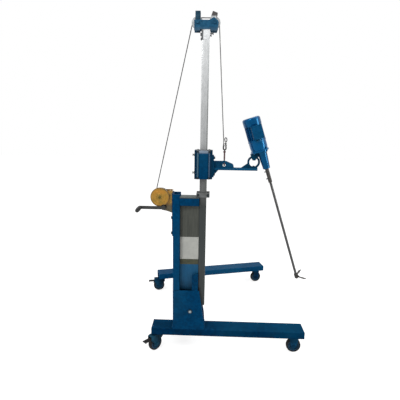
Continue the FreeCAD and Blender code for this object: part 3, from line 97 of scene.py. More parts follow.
class Surface:
    """A Principled material whose colour, roughness and bump come from small node chains."""

    def __init__(self, name, roughness, metallic=0.0, specular=0.5):
        self.material = bpy.data.materials.new(name)
        self.material.use_nodes = True
        self.tree = self.material.node_tree
        self.tree.nodes.clear()
        self.shader = self.node("BsdfPrincipled", {"Roughness": roughness, "Metallic": metallic,
                                                   "Specular IOR Level": specular})
        self.node("OutputMaterial", {"Surface": self.shader.outputs["BSDF"]})
        self.place = self.node("TexCoord").outputs["Object"]
        self.bumped = None

    def node(self, kind, values=None, **settings):
        return new_node(self.tree, kind, values, **settings)

    def stretched(self, x, y, z):
        """The place scaled along each axis: a small factor draws the pattern out along it."""
        return self.node("Mapping", {"Vector": self.place, "Scale": (x, y, z)}).outputs["Vector"]

    def noise(self, scale, detail=3.0, place=None, rough=0.55):
        noise = self.node("TexNoise", {"Vector": place or self.place, "Scale": scale,
                                       "Detail": detail, "Roughness": rough})
        return noise.outputs["Fac"]

    def cells(self, scale, place=None):
        """A patchwork of cells, each with its own value."""
        patches = self.node("TexVoronoi", {"Vector": place or self.place, "Scale": scale})
        return self.node("SeparateColor", {"Color": patches.outputs["Color"]}).outputs["Red"]

    def split(self, vector, axis):
        return self.node("SeparateXYZ", {"Vector": vector}).outputs[axis]

    def geometry(self, kind):
        return self.node("NewGeometry").outputs[kind]

    def faces_up(self, most):
        """A mask of the faces that look up, where dust settles."""
        return self.span(self.split(self.geometry("Normal"), "Z"), 0.55, 0.95, 0.0, most)

    def edge_wear(self):
        """A mask of the outer edges, where paint rubs off."""
        return self.span(self.geometry("Pointiness"), 0.52, 0.62)

    def along(self, axis):
        """The place along one axis. Along Z it is the height above the floor."""
        return self.split(self.place, axis)

    def below(self, high, low, most=1.0):
        """A mask that begins at the height high and is full from the height low down."""
        return self.span(self.along("Z"), high, low, 0.0, most)

    def distance_from(self, point):
        apart = self.node("VectorMath", {0: self.place, 1: point}, operation="DISTANCE")
        return apart.outputs["Value"]

    def span(self, value, low, high, new_low=0.0, new_high=1.0):
        """Takes a value from one range to another and holds it there at both ends."""
        mapped = self.node("MapRange", {"Value": value, "From Min": low, "From Max": high,
                                        "To Min": new_low, "To Max": new_high})
        return mapped.outputs["Result"]

    def near(self, value, middle, reach, soft, most=1.0):
        """A mask that is full within reach of a value and fades out over the soft width."""
        apart = self.node("Math", {0: value, 1: middle}, operation="SUBTRACT").outputs["Value"]
        distance = self.node("Math", {0: apart}, operation="ABSOLUTE").outputs["Value"]
        return self.span(distance, reach + soft, reach, 0.0, most)

    def product(self, a, b):
        return self.node("Math", {0: a, 1: b}, operation="MULTIPLY").outputs["Value"]

    def mixed(self, factor, a, b):
        """Colour a where the factor is 0 and b where it is 1."""
        return self.node("Mix", {0: factor, 6: a, 7: b}, data_type="RGBA").outputs[2]

    def colour(self, value):
        self.tree.links.new(value, self.shader.inputs["Base Color"])

    def roughness(self, value, low, high):
        sheen = self.span(value, 0.25, 0.75, low, high)
        self.tree.links.new(sheen, self.shader.inputs["Roughness"])

    def bump(self, value, strength, depth):
        """Adds a bump over those that are there already."""
        values = {"Height": value, "Strength": strength, "Distance": depth}
        if self.bumped is not None:
            values["Normal"] = self.bumped
        self.bumped = self.node("Bump", values).outputs["Normal"]
        self.tree.links.new(self.bumped, self.shader.inputs["Normal"])


def enamel(name, base, deep, light, gloss=0.32, specular=0.06, tint=None, marks=None):
    """Sprayed machine enamel: uneven film, orange peel, rubbed edges and settled dust.

    marks is a function that adds the marks of one piece, and any painted light, to the colour."""
    s = Surface(name, gloss, specular=specular)
    if tint:
        s.shader.inputs["Specular Tint"].default_value = tint
    patches = s.span(s.noise(9.0, 4.0), 0.35, 0.65)
    body = s.mixed(patches, base, deep)
    mottle = s.span(s.noise(55.0, 3.0), 0.42, 0.62, 0.0, 0.7)
    darker = tuple(c * 0.72 for c in deep[:3]) + (1.0,)
    body = s.mixed(mottle, body, darker)
    faded = s.span(s.noise(2.4, 2.0), 0.45, 0.75, 0.0, 0.6)
    body = s.mixed(faded, body, light)
    scuffs = s.span(s.noise(70.0, 5.0, rough=0.7), 0.66, 0.74, 0.0, 0.35)
    body = s.mixed(scuffs, body, light)
    dust = s.product(s.below(0.22, 0.0, 0.3), s.span(s.noise(28.0, 4.0), 0.4, 0.7))
    body = s.mixed(dust, body, srgb(48, 74, 88))
    settled = s.product(s.faces_up(0.16), s.span(s.noise(16.0, 5.0), 0.3, 0.7, 0.6, 1.0))
    body = s.mixed(settled, body, srgb(36, 80, 100))
    wear_and_shade = s.product(s.edge_wear(), s.span(s.noise(30.0, 4.0), 0.35, 0.65, 0.2, 0.8))
    body = s.mixed(wear_and_shade, body, srgb(14, 26, 34))
    if marks:
        body = marks(s, body)
    s.colour(body)
    s.roughness(s.noise(24.0, 3.0), gloss - 0.07, gloss + 0.16)
    s.bump(s.noise(420.0, 2.0), 0.10, 0.0006)
    s.bump(s.noise(38.0, 2.0), 0.12, 0.0012)
    return s.material


def carriage_marks_and_shading(s, body):
    """Painted shade on the outer edges and beside each rib, a painted highlight on each rib, paler
    on the left one, and a pale grey band along the top.
    """
    outer_shade_begins, outer_shade_full = 0.0405, 0.0435
    rib_shade_place = carriage_rib_place - 0.0065
    for side, rib_highlight_tone in ((-1, srgb(112, 142, 152)), (1, srgb(98, 112, 134))):
        across = s.along("X")
        # Painted shade over the outer edges.
        outer = s.span(across, ORIGIN.x + side * outer_shade_begins, ORIGIN.x + side * outer_shade_full, 0.0, 0.8)
        body = s.mixed(outer, body, srgb(12, 44, 66))
        # Painted highlight down each rib, paler on the left one.
        rib = s.near(across, ORIGIN.x + side * carriage_rib_place, 0.0030, 0.0015, 0.8)
        body = s.mixed(rib, body, rib_highlight_tone)
        # Painted shade beside each rib.
        grime_and_shade = s.near(across, ORIGIN.x + side * rib_shade_place, 0.0020, 0.0020, 0.7)
        body = s.mixed(grime_and_shade, body, srgb(0, 34, 56))
    top = carriage_high.z
    band = s.span(s.along("Z"), top - 0.021, top - 0.010, 0.0, 0.85)
    between_ribs = s.near(s.along("X"), ORIGIN.x, 0.028, 0.004)
    uneven = s.span(s.noise(60.0, 4.0), 0.3, 0.6, 0.7, 1.0)
    return s.mixed(s.product(s.product(band, between_ribs), uneven), body, srgb(146, 158, 172))


def head_marks(s, body):
    """A film that has turned chalky along the head's lower edge."""
    chalky_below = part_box("head_frame")[0].z + 0.022
    lower = s.below(chalky_below, chalky_below - 0.016, 0.5)
    chalk = s.product(lower, s.span(s.noise(50.0, 4.0), 0.3, 0.65, 0.35, 1.0))
    return s.mixed(chalk, body, srgb(84, 98, 108))


def metal(name, base, deep, roughness, streak=(1, 1, 1), scale=60.0, metallic=0.85, stain=None):
    """Bare or plated steel with streaks, faint spots and uneven sheen."""
    s = Surface(name, roughness, metallic)
    lines = s.noise(scale, 4.0, s.stretched(*streak), 0.6)
    body = s.mixed(s.span(lines, 0.3, 0.7), base, deep)
    if stain:
        spots = s.span(s.noise(18.0, 5.0, rough=0.7), 0.56, 0.7, 0.0, 0.8)
        body = s.mixed(spots, body, stain)
    s.colour(body)
    s.roughness(s.noise(scale * 0.6, 3.0), roughness - 0.08, roughness + 0.14)
    s.bump(lines, 0.08, 0.0004)
    return s.material


def zinc_tube_with_painted_shade(name):
    """Galvanised square tube: spangle and drawn streaks, with painted shade lower down, down its
    right edge and at its foot.
    """
    s = Surface(name, 0.38, 0.45)
    spangle = s.cells(95.0, s.stretched(1, 1, 0.55))
    body = s.mixed(spangle, srgb(206, 208, 209), srgb(222, 224, 225))
    streaks = s.span(s.noise(34.0, 5.0, s.stretched(5, 5, 0.16), 0.65), 0.42, 0.66, 0.0, 0.5)
    body = s.mixed(streaks, body, srgb(182, 184, 184))
    drawn_out = s.stretched(2, 2, 0.3)
    # Painted shade: streaks that darken the tube below 2.02 m, fully from 1.5 m down.
    upper_shade_streaks = s.span(s.noise(12.0, 4.0, drawn_out), 0.15, 0.6, 0.6, 1.0)
    upper_painted_shade = s.product(s.below(2.02, 1.50, 0.8), upper_shade_streaks)
    body = s.mixed(upper_painted_shade, body, srgb(130, 132, 132))
    # Painted shade: darker streaks again below 1.44 m, fully from 1.24 m down.
    lower_shade_streaks = s.span(s.noise(16.0, 4.0, drawn_out), 0.1, 0.5, 0.8, 1.0)
    lower_painted_shade = s.product(s.below(1.44, 1.24, 0.85), lower_shade_streaks)
    body = s.mixed(lower_painted_shade, body, srgb(70, 72, 71))
    # Painted shade down the tube's right edge, below 2.08 m and fully from 1.6 m down.
    shaded_right_edge = s.span(s.along("X"), ORIGIN.x + 0.0140, ORIGIN.x + 0.0185, 0.0, 0.8)
    body = s.mixed(s.product(shaded_right_edge, s.below(2.08, 1.60)), body, srgb(82, 85, 82))
    # Painted shade over the tube's foot, where it stands in the column.
    shade_in_column = s.below(1.13, 1.03, 0.9)
    body = s.mixed(shade_in_column, body, srgb(40, 46, 46))
    s.colour(body)
    s.roughness(s.noise(30.0, 4.0, s.stretched(3, 3, 0.3)), 0.3, 0.52)
    s.bump(spangle, 0.05, 0.0003)
    return s.material


def sleeve_zinc_with_painted_shade(name):
    """Zinc collar with painted shade as a dark mottled strip down its left edge."""
    s = Surface(name, 0.4, 0.45)
    body = s.mixed(s.cells(95.0), srgb(206, 208, 209), srgb(222, 224, 225))
    # Painted shade down the collar's left edge.
    left_painted_shade = s.span(s.along("X"), ORIGIN.x - 0.0125, ORIGIN.x - 0.0155, 0.0, 0.92)
    body = s.mixed(left_painted_shade, body, s.mixed(s.noise(90.0, 4.0), srgb(34, 38, 42), srgb(92, 94, 94)))
    s.colour(body)
    s.roughness(s.noise(30.0, 4.0), 0.34, 0.56)
    s.bump(s.noise(120.0, 3.0), 0.06, 0.0004)
    return s.material


def tie_bolt_with_highlight(name, middle):
    """Bolt head that is painted over at its rim, with a painted highlight as a bright spot in its
    middle.
    """
    s = Surface(name, 0.4, 0.3)
    # Painted highlight: bright metal in the middle of the head.
    highlight_spot = s.span(s.distance_from(middle), 0.0105, 0.0075)
    painted = s.mixed(s.noise(120.0, 3.0), srgb(20, 40, 54), srgb(34, 60, 78))
    bright = s.mixed(s.noise(160.0, 3.0), srgb(176, 184, 186), srgb(120, 126, 126))
    s.colour(s.mixed(highlight_spot, painted, bright))
    s.roughness(s.noise(90.0, 3.0), 0.32, 0.5)
    s.bump(s.noise(240.0, 2.0), 0.08, 0.0004)
    return s.material


def zinc_plate_with_shading(name, base, deep, glow, shade, shaded_below=None, centre=None):
    """Yellow chromate plating with its drifting brown and green tints.

    It has painted shade below a given height. Round a disc's centre it is dull, at its rim it
    has painted shade, and it is more orange in the upper part."""
    s = Surface(name, 0.34, 0.45)
    drift = s.span(s.noise(14.0, 3.0), 0.32, 0.68)
    body = s.mixed(drift, base, deep)
    body = s.mixed(s.span(s.noise(46.0, 4.0), 0.55, 0.75, 0.0, 0.7), body, glow)
    clouds = s.noise(22.0, 3.0, s.stretched(1, 1, 1.6))
    body = s.mixed(s.span(clouds, 0.5, 0.66, 0.0, 0.8), body, shade)
    if shaded_below:
        # Painted shade on the lower part, below the given height.
        wear_and_shade = s.below(shaded_below + 0.012, shaded_below - 0.012, 0.9)
        painted_shade_tone = s.mixed(s.noise(70.0, 4.0), srgb(92, 88, 72), srgb(60, 57, 46))
        body = s.mixed(wear_and_shade, body, painted_shade_tone)
    if centre:
        away = s.distance_from(centre)
        core = s.product(s.span(away, 0.030, 0.008, 0.0, 0.8), s.span(drift, 0.0, 0.6, 0.6, 1.0))
        body = s.mixed(core, body, shade)
        upper_part = s.span(s.along("Z"), centre[2] + 0.012, centre[2] + 0.032, 0.0, 0.45)
        inside_rim = s.span(away, 0.056, 0.044)
        body = s.mixed(s.product(upper_part, inside_rim), body, srgb(184, 122, 34))
        # Painted shade round the disc's rim.
        rim = s.span(away, 0.0530, 0.0570, 0.0, 0.85)
        body = s.mixed(rim, body, srgb(104, 80, 46))
    s.colour(body)
    s.roughness(s.noise(80.0, 3.0), 0.26, 0.46)
    s.bump(s.noise(260.0, 2.0), 0.06, 0.0004)
    return s.material


def drum_steel(name, shaft_end):
    """Turned steel of the drum and its gear, with a dull brassy shaft end."""
    s = Surface(name, 0.4, 0.6)
    patches = s.span(s.noise(70.0, 4.0), 0.3, 0.7)
    steel = s.mixed(patches, srgb(128, 130, 130), srgb(90, 92, 92))
    brass = s.mixed(patches, srgb(112, 98, 44), srgb(84, 76, 36))
    on_shaft = s.span(s.distance_from(shaft_end), 0.0125, 0.0110)
    s.colour(s.mixed(on_shaft, steel, brass))
    s.roughness(s.noise(42.0, 3.0), 0.32, 0.54)
    s.bump(s.noise(90.0, 4.0), 0.08, 0.0004)
    return s.material


def keeper_metal(name):
    """Steel strap, dull and stained at its bend and rubbed bright where it meets the pulley."""
    s = Surface(name, 0.46, 0.55)
    patches = s.span(s.noise(60.0, 4.0), 0.3, 0.7)
    dull = s.mixed(patches, srgb(86, 84, 84), srgb(56, 54, 54))
    spots = s.span(s.noise(18.0, 5.0, rough=0.7), 0.56, 0.7, 0.0, 0.8)
    dull = s.mixed(spots, dull, srgb(70, 62, 60))
    bright = s.mixed(patches, srgb(186, 190, 192), srgb(150, 154, 156))
    s.colour(s.mixed(s.below(2.158, 2.150), dull, bright))
    s.roughness(s.noise(40.0, 3.0), 0.38, 0.6)
    s.bump(s.noise(60.0, 4.0), 0.08, 0.0004)
    return s.material


def rubber(name, base, wear_and_shade, roughness=0.68):
    """Moulded rubber or plastic with a fine grain and paler worn patches."""
    s = Surface(name, roughness, specular=0.25)
    body = s.mixed(s.span(s.noise(60.0, 4.0), 0.4, 0.7), base, wear_and_shade)
    s.colour(body)
    s.roughness(s.noise(90.0, 3.0), roughness - 0.08, roughness + 0.14)
    s.bump(s.noise(520.0, 3.0), 0.2, 0.0005)
    return s.material


def sheet(name, base, deep, roughness, streak=(1, 1, 1), foot=None):
    """Painted sheet panel with faint run marks and grime, darker near the height of its foot."""
    s = Surface(name, roughness, specular=0.2)
    body = s.mixed(s.span(s.noise(26.0, 5.0, s.stretched(*streak), 0.65), 0.38, 0.68), base, deep)
    grime_and_shade = s.span(s.noise(7.0, 3.0), 0.5, 0.75, 0.0, 0.5)
    body = s.mixed(grime_and_shade, body, deep)
    if foot:
        # Darker towards the height of the foot.
        uneven = s.span(s.noise(48.0, 4.0, rough=0.7), 0.35, 0.6, 0.35, 1.0)
        darker_near_foot = s.product(s.below(foot + 0.055, foot, 0.85), uneven)
        body = s.mixed(darker_near_foot, body, srgb(8, 40, 62))
    s.colour(body)
    s.roughness(s.noise(30.0, 3.0), roughness - 0.06, roughness + 0.12)
    s.bump(s.noise(300.0, 2.0), 0.06, 0.0004)
    return s.material


gloss_tint = (0.05, 0.5, 1.0, 1.0)
panel_foot = 0.462
bracket_edge = 1.040

blue = enamel("stand_enamel", srgb(0, 68, 110), srgb(0, 58, 98), srgb(24, 86, 122), specular=0.02)
# Darker copy of the stand enamel: painted shade on the near leg, cross beam, end plates and caster
# plates.
shaded_leg_blue = enamel("shaded_leg_enamel", srgb(0, 52, 90), srgb(0, 42, 76), srgb(10, 70, 102), specular=0.0)
head_blue = enamel("head_enamel", srgb(46, 96, 126), srgb(32, 82, 114), srgb(74, 116, 142),
                   marks=head_marks)
mixer_blue = enamel("mixer_enamel", srgb(0, 62, 112), srgb(0, 50, 94), srgb(8, 76, 126),
                    0.18, 1.0, gloss_tint)
box_blue = enamel("box_enamel", srgb(16, 68, 106), srgb(0, 52, 88), srgb(30, 86, 112),
                  0.24, 0.6, gloss_tint)
housing_blue = enamel("housing_enamel", srgb(0, 46, 90), srgb(0, 36, 74), srgb(4, 58, 100),
                      0.18, 1.0, gloss_tint)
# Carriage enamel with painted shade and painted highlights on its pressed plates.
carriage_blue_with_shading = enamel("carriage_enamel_with_shading", srgb(0, 66, 106), srgb(0, 56, 94), srgb(20, 82, 116),
                       specular=0.02, marks=carriage_marks_and_shading)
fork_blue = enamel("fork_enamel", srgb(0, 58, 102), srgb(0, 46, 88), srgb(32, 96, 120), 0.4, 0.02)
near_fork_blue = enamel("near_fork_enamel", srgb(34, 88, 112), srgb(18, 68, 94), srgb(62, 108, 126),
                        0.4, 0.03)
keeper_blue = enamel("keeper_enamel", srgb(48, 80, 98), srgb(34, 62, 80), srgb(68, 96, 110),
                     0.36, 0.04)
ring_blue = enamel("ring_enamel", srgb(0, 50, 78), srgb(0, 40, 64), srgb(10, 64, 90), specular=0.03)
arm_blue = enamel("arm_enamel", srgb(12, 74, 112), srgb(2, 62, 98), srgb(36, 92, 124),
                  specular=0.02)
# Paler enamel: painted highlight on the carriage's ribs.
rib_highlight_blue = enamel("rib_highlight_enamel", srgb(64, 98, 118), srgb(44, 80, 102), srgb(96, 126, 142), 0.36)
# Dark enamel: painted shade along the carriage's bends.
bend_shade_blue = enamel("bend_shade_enamel", srgb(14, 28, 54), srgb(8, 20, 40), srgb(24, 44, 72), 0.36)
pale_blue = sheet("lower_panel_paint", srgb(22, 82, 118), srgb(14, 70, 104), 0.46, (3, 3, 0.4),
                  foot=panel_foot)
grey_sheet = sheet("upper_panel_paint", srgb(78, 80, 74), srgb(62, 64, 60), 0.5, (4, 4, 0.25))
placard = sheet("placard_face", srgb(178, 179, 173), srgb(166, 167, 162), 0.42)
kraft = sheet("strip_finish", srgb(76, 77, 60), srgb(58, 62, 52), 0.55, (0.6, 3, 3))
tube_zinc_with_painted_shade = zinc_tube_with_painted_shade("mast_zinc_with_painted_shade")
grey_zinc = metal("clamp_zinc", srgb(104, 106, 106), srgb(84, 86, 86), 0.4, scale=45.0,
                  metallic=0.6, stain=srgb(70, 70, 68))
collar_zinc_with_painted_shade = sleeve_zinc_with_painted_shade("collar_zinc_with_painted_shade")
top_plate_zinc = metal("top_plate_zinc", srgb(64, 74, 72), srgb(48, 58, 57), 0.5, scale=45.0,
                       metallic=0.35)
tie_bolt_face = at(-72.5, -63.0, 311.0)
tie_bolt_highlight_finish = tie_bolt_with_highlight("tie_bolt_with_highlight", tie_bolt_face)
bolt_zinc = metal("bolt_zinc", srgb(150, 150, 144), srgb(108, 107, 102), 0.36, scale=150.0,
                  metallic=0.75)
dull_bolt = metal("dull_bolt", srgb(84, 86, 84), srgb(54, 56, 56), 0.46, scale=150.0, metallic=0.5)
dark_bolt = metal("dark_bolt", srgb(30, 42, 46), srgb(16, 24, 28), 0.42, scale=150.0, metallic=0.4)
dark_steel = metal("dark_steel", srgb(74, 72, 70), srgb(46, 45, 44), 0.42, scale=80.0, metallic=0.7,
                   stain=srgb(70, 56, 46))
shaft_steel = metal("shaft_steel", srgb(86, 86, 86), srgb(58, 58, 58), 0.3, (6, 6, 0.25), 40.0)
crank_steel = metal("crank_steel", srgb(58, 60, 59), srgb(32, 34, 33), 0.4, (0.3, 6, 6), 40.0, 0.3)
keeper_steel = keeper_metal("keeper_steel")
roller_steel = metal("roller_steel", srgb(128, 130, 130), srgb(90, 92, 92), 0.34, scale=70.0)
pulley_steel = metal("pulley_steel", srgb(188, 192, 194), srgb(154, 158, 160), 0.34, scale=70.0,
                     metallic=0.5)
rope_steel = metal("rope_steel", srgb(118, 118, 116), srgb(76, 75, 73), 0.4, scale=220.0,
                   metallic=0.75)
hoist_steel = metal("hoist_rope_steel", srgb(74, 74, 73), srgb(46, 46, 46), 0.45, scale=220.0,
                    metallic=0.4)
eye_steel = metal("eye_steel", srgb(86, 86, 84), srgb(54, 53, 52), 0.42, scale=220.0, metallic=0.7)
hook_brown = metal("hook_lacquer", srgb(86, 54, 52), srgb(54, 36, 38), 0.46, scale=90.0,
                   metallic=0.15)
yellow_zinc_shaded_rim = zinc_plate_with_shading("winch_zinc_shaded_rim", srgb(172, 128, 46), srgb(150, 112, 34), srgb(190, 150, 76),
                         srgb(116, 102, 38), centre=(drum_centre.x, cover_face, drum_centre.z))
drum_metal = drum_steel("drum_metal", (drum_centre.x, cover_face + 0.007, drum_centre.z))
frame_zinc_shaded_below = zinc_plate_with_shading("winch_frame_zinc_shaded_below", srgb(166, 126, 56), srgb(146, 108, 42),
                        srgb(182, 148, 80), srgb(118, 98, 46), shaded_below=bracket_edge)
tread_rubber = rubber("tread_rubber", srgb(20, 21, 22), srgb(38, 40, 41))
hub_plastic = rubber("hub_plastic", srgb(24, 68, 96), srgb(16, 50, 74), 0.5)
grip_rubber = rubber("grip_rubber", srgb(20, 20, 21), srgb(36, 36, 37), 0.6)
pedal_rubber = rubber("pedal_rubber", srgb(22, 22, 23), srgb(40, 40, 41), 0.58)
fan_plastic = rubber("fan_plastic", srgb(30, 32, 35), srgb(44, 46, 50), 0.5)


# Mesh helpers

def turn_to(axis):
    """Rotation that takes +Z to an axis."""
    return Z.rotation_difference(Vector(axis).normalized()).to_matrix().to_4x4()


def placed(point, axis):
    """A place at a point, with its Z along an axis."""
    return Matrix.Translation(point) @ turn_to(axis)


def piece(name, bm, material, body, sharp=38.0, bevel=0.0):
    """Makes a mesh into a piece that rides on a body. Edges over the sharp angle stay sharp."""
    bmesh.ops.recalc_face_normals(bm, faces=bm.faces)
    mesh = bpy.data.meshes.new(name)
    bm.to_mesh(mesh)
    bm.free()
    mesh.validate()
    for polygon in mesh.polygons:
        polygon.use_smooth = True
    mesh.set_sharp_from_angle(angle=math.radians(sharp))
    mesh.materials.append(material)
    obj = bpy.data.objects.new(name, mesh)
    bpy.context.scene.collection.objects.link(obj)
    if bevel:
        soften(obj, bevel)
    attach(obj, body)
    return obj


def soften(obj, width):
    """Merges split corners and rounds the sharp edges, so that they catch light."""
    weld = obj.modifiers.new("weld", "WELD")
    weld.merge_threshold = 0.00002
    bevel = obj.modifiers.new("edge", "BEVEL")
    bevel.width = width
    bevel.segments = 2
    bevel.limit_method = "ANGLE"
    bevel.angle_limit = math.radians(42)
    bevel.use_clamp_overlap = True
    bevel.harden_normals = False


def turn_about_z(count):
    """The angles of a full turn in even steps."""
    return [2 * math.pi * i / count for i in range(count)]


def about_z(radius, angle, height):
    """A point at a radius and an angle about Z."""
    return Vector((radius * math.cos(angle), radius * math.sin(angle), height))


def lathe(bm, profile, matrix, segments=48):
    """Adds a closed turned body from (radius, height) pairs in metres, about the matrix's Z."""
    rings = []
    for radius, height in profile:
        angles = turn_about_z(segments) if radius else [0.0]
        rings.append([bm.verts.new(matrix @ about_z(radius, a, height)) for a in angles])
    closed = len(rings[0]) > 1 and len(rings[-1]) > 1
    pairs = list(zip(rings, rings[1:]))
    if closed:
        pairs.append((rings[-1], rings[0]))
    for low, high in pairs:
        for i in range(segments):
            j = (i + 1) % segments
            if len(low) == 1 and len(high) == 1:
                continue
            if len(low) == 1:
                bm.faces.new((low[0], high[i], high[j]))
            elif len(high) == 1:
                bm.faces.new((low[i], low[j], high[0]))
            else:
                bm.faces.new((low[i], low[j], high[j], high[i]))


def frames_along(points):
    """A smooth pair of side directions at each point of a path."""
    tangents = []
    for i in range(len(points)):
        before = points[max(i - 1, 0)]
        after = points[min(i + 1, len(points) - 1)]
        tangents.append((after - before).normalized())
    side = tangents[0].orthogonal().normalized()
    sides = [side]
    for a, b in zip(tangents, tangents[1:]):
        side = a.rotation_difference(b) @ side
        side = (side - b * side.dot(b)).normalized()
        sides.append(side)
    return [(t, s, t.cross(s)) for t, s in zip(tangents, sides)]


def tube(bm, points, radius, sides=8, swell=None):
    """Adds a closed round bar along a path. swell(i) scales the radius at a point."""
    rings = []
    for i, (point, (t, s, u)) in enumerate(zip(points, frames_along(points))):
        r = radius * (swell(i) if swell else 1.0)
        rings.append([bm.verts.new(point + (s * math.cos(a) + u * math.sin(a)) * r)
                      for a in turn_about_z(sides)])
    for low, high in zip(rings, rings[1:]):
        for i in range(sides):
            j = (i + 1) % sides
            bm.faces.new((low[i], low[j], high[j], high[i]))
    bm.faces.new(rings[0][::-1])
    bm.faces.new(rings[-1])


def laid_rope(bm, points, radius, lay=0.03, strands=6, sides=6):
    """Adds twisted outer strands around a core, all along one path."""
    frames = frames_along(points)
    run = [0.0]
    for a, b in zip(points, points[1:]):
        run.append(run[-1] + (b - a).length)
    strand_radius = radius * 0.36
    offset = radius - strand_radius
    for k in range(strands):
        path = []
        for point, (t, s, u), d in zip(points, frames, run):
            a = 2 * math.pi * (k / strands + d / lay)
            path.append(point + (s * math.cos(a) + u * math.sin(a)) * offset)
        tube(bm, path, strand_radius, sides)
    tube(bm, points, radius * 0.55, 6)


def spaced(points, step):
    """Resamples a polyline at an even step."""
    out = [points[0]]
    for a, b in zip(points, points[1:]):
        count = max(1, int(round((b - a).length / step)))
        out += [a.lerp(b, i / count) for i in range(1, count + 1)]
    return out


def clip_saddle(bm, low, high):
    """Adds a closed block between two corners in millimetres from the mast's foot."""
    v = [bm.verts.new(at(x, y, z)) for x in (low[0], high[0]) for y in (low[1], high[1])
         for z in (low[2], high[2])]
    for face in ((0, 1, 3, 2), (4, 6, 7, 5), (0, 4, 5, 1),
                 (2, 3, 7, 6), (0, 2, 6, 4), (1, 5, 7, 3)):
        bm.faces.new([v[i] for i in face])


def washer(radius, height):
    return [(0, 0), (radius, 0), (radius, height), (0, height)]


def bolt_head(radius, height):
    return [(0, 0), (radius, 0), (radius, height * 0.75), (radius * 0.86, height), (0, height)]


def bolt_and_washer(bm, seat, head, disc, disc_sides):
    """Adds a hexagon head on its washer, each given by its radius and height."""
    lathe(bm, washer(*disc), seat, disc_sides)
    lathe(bm, bolt_head(*head), seat @ Matrix.Translation((0, 0, disc[1])), 6)


# Ropes from the drum over both pulleys, and down to the arm

rope_radius = 0.003
rope_step = 0.004
wound_radius = 0.036
groove_radius = 0.028
left_centre = pivots["left_pulley_spin"]
right_centre = pivots["right_pulley_spin"]
fall_low, fall_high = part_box("rope_fall")


def touching_normal(start, start_radius, end, end_radius):
    """The direction from each centre to where a straight rope touches its circle, upper left."""
    along = (end - start).normalized()
    side = Vector((-along.z, 0, along.x))
    share = (start_radius - end_radius) / (end - start).length
    return along * share + side * math.sqrt(1 - share * share)


def arc(centre, start, end, steps=16):
    """Points from one place to another round a centre, in the plane of the ropes."""
    radius = (start - centre).length
    a0 = math.atan2(start.z - centre.z, start.x - centre.x)
    a1 = math.atan2(end.z - centre.z, end.x - centre.x)
    return [centre + Vector((math.cos(a), 0, math.sin(a))) * radius
            for a in (a0 + (a1 - a0) * i / steps for i in range(steps + 1))]


rise = touching_normal(drum_centre, wound_radius, left_centre, groove_radius)
rope_start = drum_centre + rise * wound_radius
left_touch = left_centre + rise * groove_radius
left_top = left_centre + Z * groove_radius
right_top = right_centre + Z * groove_radius
fall_end = Vector((fall_high.x - rope_radius, ORIGIN.y, fall_low.z))
fall_side = touching_normal(right_centre, groove_radius, fall_end, 0.0)
fall_start = right_centre + fall_side * groove_radius

route = spaced([rope_start, left_touch], rope_step)
route += arc(left_centre, left_touch, left_top)[1:]
route += spaced([left_top, right_top], rope_step)[1:]
route += arc(right_centre, right_top, fall_start)[1:]
bm = bmesh.new()
laid_rope(bm, route, rope_radius)
hoist_rope = piece("hoist_rope_strands", bm, hoist_steel, "stand")
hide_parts("winch_rope")

bm = bmesh.new()
laid_rope(bm, spaced([fall_start, fall_end], rope_step), rope_radius)
fall_rope = piece("fall_rope_strands", bm, rope_steel, "stand")
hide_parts("rope_fall")
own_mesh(fall_rope)


# Turns of rope on the drum

turns = 7.5
steps_in_a_turn = 56
steps = int(turns * steps_in_a_turn)
half_width = 0.0232
coil = []
for i in range(steps + 1):
    share = i / steps
    a = 2 * math.pi * turns * share
    turn = Vector((math.cos(a) * wound_radius, half_width * (2 * share - 1),
                   math.sin(a) * wound_radius))
    coil.append(drum_centre + turn)
bm = bmesh.new()
laid_rope(bm, coil, rope_radius, sides=5)
piece("wound_rope", bm, rope_steel, "drum")


# Rope end: an eye with its thimble, two clips and the tail's small curl, all above the hook

def smooth_path(knots, steps=10):
    """A smooth curve through (x, z) knots in millimetres, at the mast's mid plane."""
    k = [knots[0]] + list(knots) + [knots[-1]]
    out = []
    for a, b, c, d in zip(k, k[1:], k[2:], k[3:]):
        for i in range(steps):
            t = i / steps
            p = [0.5 * (2 * b[n] + (c[n] - a[n]) * t
                        + (2 * a[n] - 5 * b[n] + 4 * c[n] - d[n]) * t * t
                        + (3 * b[n] - a[n] - 3 * c[n] + d[n]) * t ** 3) for n in (0, 1)]
            out.append(at(p[0], 0, p[1]))
    out.append(at(knots[-1][0], 0, knots[-1][1]))
    return out


eye_middle_x, eye_middle_z = 130, 1402
eye_knots = [(123.6, 1428.6), (122.2, 1417), (120.5, 1405), (120.6, 1395), (124, 1388.4),
             (130, 1386.2), (136, 1388.4), (139.4, 1395), (139.5, 1405), (137.6, 1414),
             (134.2, 1423)]
tail_knots = [(135.6, 1432), (140.6, 1440), (142.8, 1448), (141, 1457), (136.2, 1462.4),
              (131.2, 1460), (129.2, 1454), (130.6, 1445), (133.2, 1437)]
bm = bmesh.new()
laid_rope(bm, spaced(smooth_path(eye_knots + tail_knots), 0.0016), rope_radius, lay=0.022, sides=5)
eye_rope = piece("rope_eye_strands", bm, eye_steel, "carriage")
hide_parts("rope_thimble")

bm = bmesh.new()
lining = [at(eye_middle_x + (x - eye_middle_x) * 0.56, 0, eye_middle_z + (z - eye_middle_z) * 0.74)
          for x, z in eye_knots[1:10]]
closing = [lining[0].lerp(lining[-1], share) for share in (0.42, 0.58)]
tube(bm, spaced(closing[:1] + lining + closing[1:], 0.0015), 0.0017, 8)
swivel_end = [(0, 0), (0.0035, 0), (0.0042, 0.003), (0.0032, 0.008), (0, 0.0085)]
lathe(bm, swivel_end, Matrix.Translation(at(eye_middle_x, 0, 1380.2)), 20)
piece("thimble", bm, dull_bolt, "carriage")

